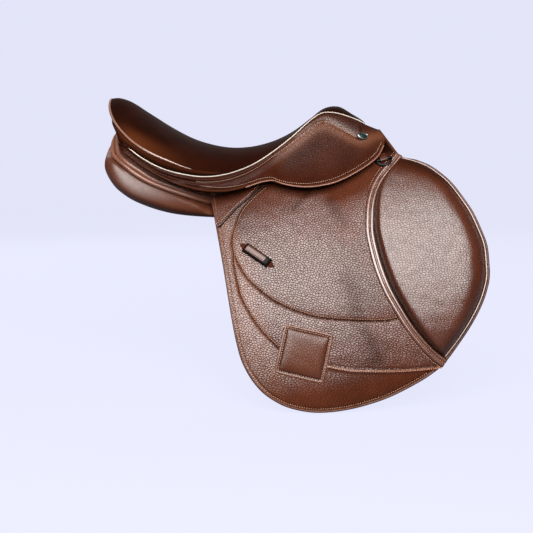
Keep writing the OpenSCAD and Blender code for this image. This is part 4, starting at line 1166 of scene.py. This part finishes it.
def studs():
    """Oval boss with a plated rim round a green centre, on each side of the pommel."""
    bm = bmesh.new()
    verts = [bm.verts.new((STUD_SIZE * r * MM, 0, h * MM)) for r, h in STUD_PROFILE]
    edges = [bm.edges.new(ends) for ends in zip(verts[:-1], verts[1:])]
    bmesh.ops.spin(bm, geom=verts + edges, cent=(0, 0, 0), axis=UP, angle=2 * math.pi, steps=44,
                   use_merge=True)
    bmesh.ops.remove_doubles(bm, verts=bm.verts, dist=JOIN)
    for face in bm.faces:
        face.material_index = 1 if face.calc_center_median().to_2d().length < ENAMEL_R * MM else 0
    bmesh.ops.scale(bm, verts=bm.verts, vec=(1, STUD_OVAL, 1))
    bmesh.ops.recalc_face_normals(bm, faces=bm.faces)
    out = Vector(skirt_out(STUD_S)[0])
    long = Vector((cos(STUD_SLANT), 0.0, sin(STUD_SLANT)))
    long = (long - out * long.dot(out)).normalized()
    turn = Matrix((long, out.cross(long), out)).transposed().to_4x4()
    top, mid, _ = skirt_lines(np.array([STUD_S]))
    turn.translation = Vector((top + STUD_DOWN * unit(mid - top) + STUD_OUT * skirt_out(STUD_S))[0] * MM)
    bmesh.ops.transform(bm, verts=bm.verts, matrix=turn)
    obj = piece("pommel_boss", bm, SILVER, out)
    obj.data.materials.append(ENAMEL)
    two = bmesh.new()
    two.from_mesh(obj.data)
    two.from_mesh(mirrored(obj.data))
    two.to_mesh(obj.data)
    two.free()
    single(obj, "stud_metal", ["pommel_studs"])


ARCH_X, ARCH_Z, ARCH_R, ARCH_SPREAD = 165.6, 100, 48, 74


def pommel_front():
    """Leather that closes the front of the pommel, down to the arch of the head."""
    def place(a, b):
        t = 2 * a - 1
        k, mid, edge = abs(t), SEAT_MID[-1] - [1.0, 1.5], SEAT_EDGE[-1] - [1.0, 0, 1.5]
        x = mid[0] + (edge[0] - mid[0]) * k ** 2.6
        top = columns(x, edge[1] * t, mid[1] + (edge[2] - mid[1]) * seat_fall(k))
        turn = np.radians(90 - ARCH_SPREAD * t)
        low = columns(ARCH_X + 0 * t, ARCH_R * np.cos(turn), ARCH_Z + ARCH_R * np.sin(turn))
        # The whole piece is painted darker as shade beside the skirt's lobe, darkest at the arch
        return top + (low - top) * b[:, None], {"shade_and_seams": 0.55 + 0.3 * dip(b - 1, 0.06)}

    single(sheet("pommel_front", (60, 14), place, SMOOTH, FORWARD, thick=2), "leather")


seat_cover()
seat_piping()
skirts()
flaps()
knee_blocks()
overlays()
guards()
keepers()
panels()
kept_shapes()
studs()
pommel_front()


# Studio, in metres

low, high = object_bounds()
FLOOR_R, CURL_R, WALL_H, UNDER = 5.5, 1.5, 5, 0.0015
AIR, AIR_STRENGTH = (0.85, 0.88, 1.0, 1), 0.05
# Name, place, aim, size, watts and colour. The fills give no reflections
LIGHTS = (
    ("key", (-0.08, -1.64, 1.06), (0, 0, 0.04), (2.5, 1.5), 147, (1.0, 0.985, 0.97)),
    ("back", (-0.5, 2.6, 1.5), (0, 0, 0.05), (5.0, 3.0), 15, WHITE),
    ("fill_far", (-0.6, 2.4, 1.2), (0, 0, 0), (3.0, 2.0), 55, WHITE),
    ("fill_front", (2.3, 1.1, 0.7), (0, 0, 0), (1.6, 1.6), 34, WHITE),
    ("fill_rear", (-2.3, 1.1, 0.7), (0, 0, 0), (1.6, 1.6), 34, WHITE))
CAMERA_AT, CAMERA_TILT, LENS, SENSOR = (0.0115, -1.4888, 0.0894), 83, 57.24, 36


def paper():
    """Backdrop paper, light for the camera and dull for the saddle."""
    mat, tree, shader = new_material("studio_paper")
    tree.nodes.remove(shader)
    dull = add(tree, "BsdfDiffuse", "BSDF", {"Color": (0.10, 0.10, 0.12, 1)})
    pale = add(tree, "BsdfDiffuse", "BSDF", {"Color": (0.60, 0.61, 0.72, 1)})
    glow = add(tree, "Emission", "Emission", {"Color": (0.79, 0.80, 0.965, 1), "Strength": 1.02})
    soft = add(tree, "MixShader", "Shader", {0: 0.95, 1: pale, 2: glow})
    seen = add(tree, "LightPath", "Is Camera Ray", {})
    mix = add(tree, "MixShader", "Shader", {0: seen, 1: dull, 2: soft})
    give(tree, tree.nodes["Material Output"], {"Surface": mix})
    return mat


def backdrop():
    """Round floor that curls up into a wall on all sides."""
    floor = low.z - UNDER
    bm = bmesh.new()
    verts = [bm.verts.new(p) for p in ((0, 0, floor), (FLOOR_R, 0, floor))]
    bm.edges.new(verts)
    curl = bmesh.ops.spin(bm, geom=verts[1:], cent=(FLOOR_R, 0, floor + CURL_R), axis=(0, -1, 0),
                          angle=math.pi / 2, steps=16)
    wall = bmesh.ops.extrude_vert_indiv(bm, verts=verts_of(curl["geom_last"]))["verts"]
    bmesh.ops.translate(bm, verts=wall, vec=(0, 0, WALL_H))
    bmesh.ops.spin(bm, geom=bm.verts[:] + bm.edges[:], cent=(0, 0, 0), axis=UP, angle=2 * math.pi, steps=96,
                   use_merge=True)
    bmesh.ops.remove_doubles(bm, verts=bm.verts, dist=10 * JOIN)
    piece("backdrop", bm, paper(), UP)


def studio():
    backdrop()
    scene = bpy.context.scene
    scene.world = bpy.data.worlds.new("studio_air")
    scene.world.use_nodes = True
    air = scene.world.node_tree.nodes["Background"]
    air.inputs["Color"].default_value = AIR
    air.inputs["Strength"].default_value = AIR_STRENGTH
    for name, at, aim, size, power, colour in LIGHTS:
        lamp = bpy.data.lights.new(name, "AREA")
        lamp.shape = "RECTANGLE"
        lamp.size, lamp.size_y = size
        lamp.energy = power
        lamp.color = colour
        holder = placed(name, lamp, at)
        holder.rotation_euler = (Vector(aim) - Vector(at)).to_track_quat("-Z", "Y").to_euler()
        holder.visible_glossy = not name.startswith("fill")
    camera = bpy.data.cameras.new("camera")
    camera.lens, camera.sensor_width = LENS, SENSOR
    scene.camera = placed("camera", camera, CAMERA_AT)
    scene.camera.rotation_euler = (math.radians(CAMERA_TILT), 0, 0)
    scene.view_settings.view_transform = "Standard"


studio()
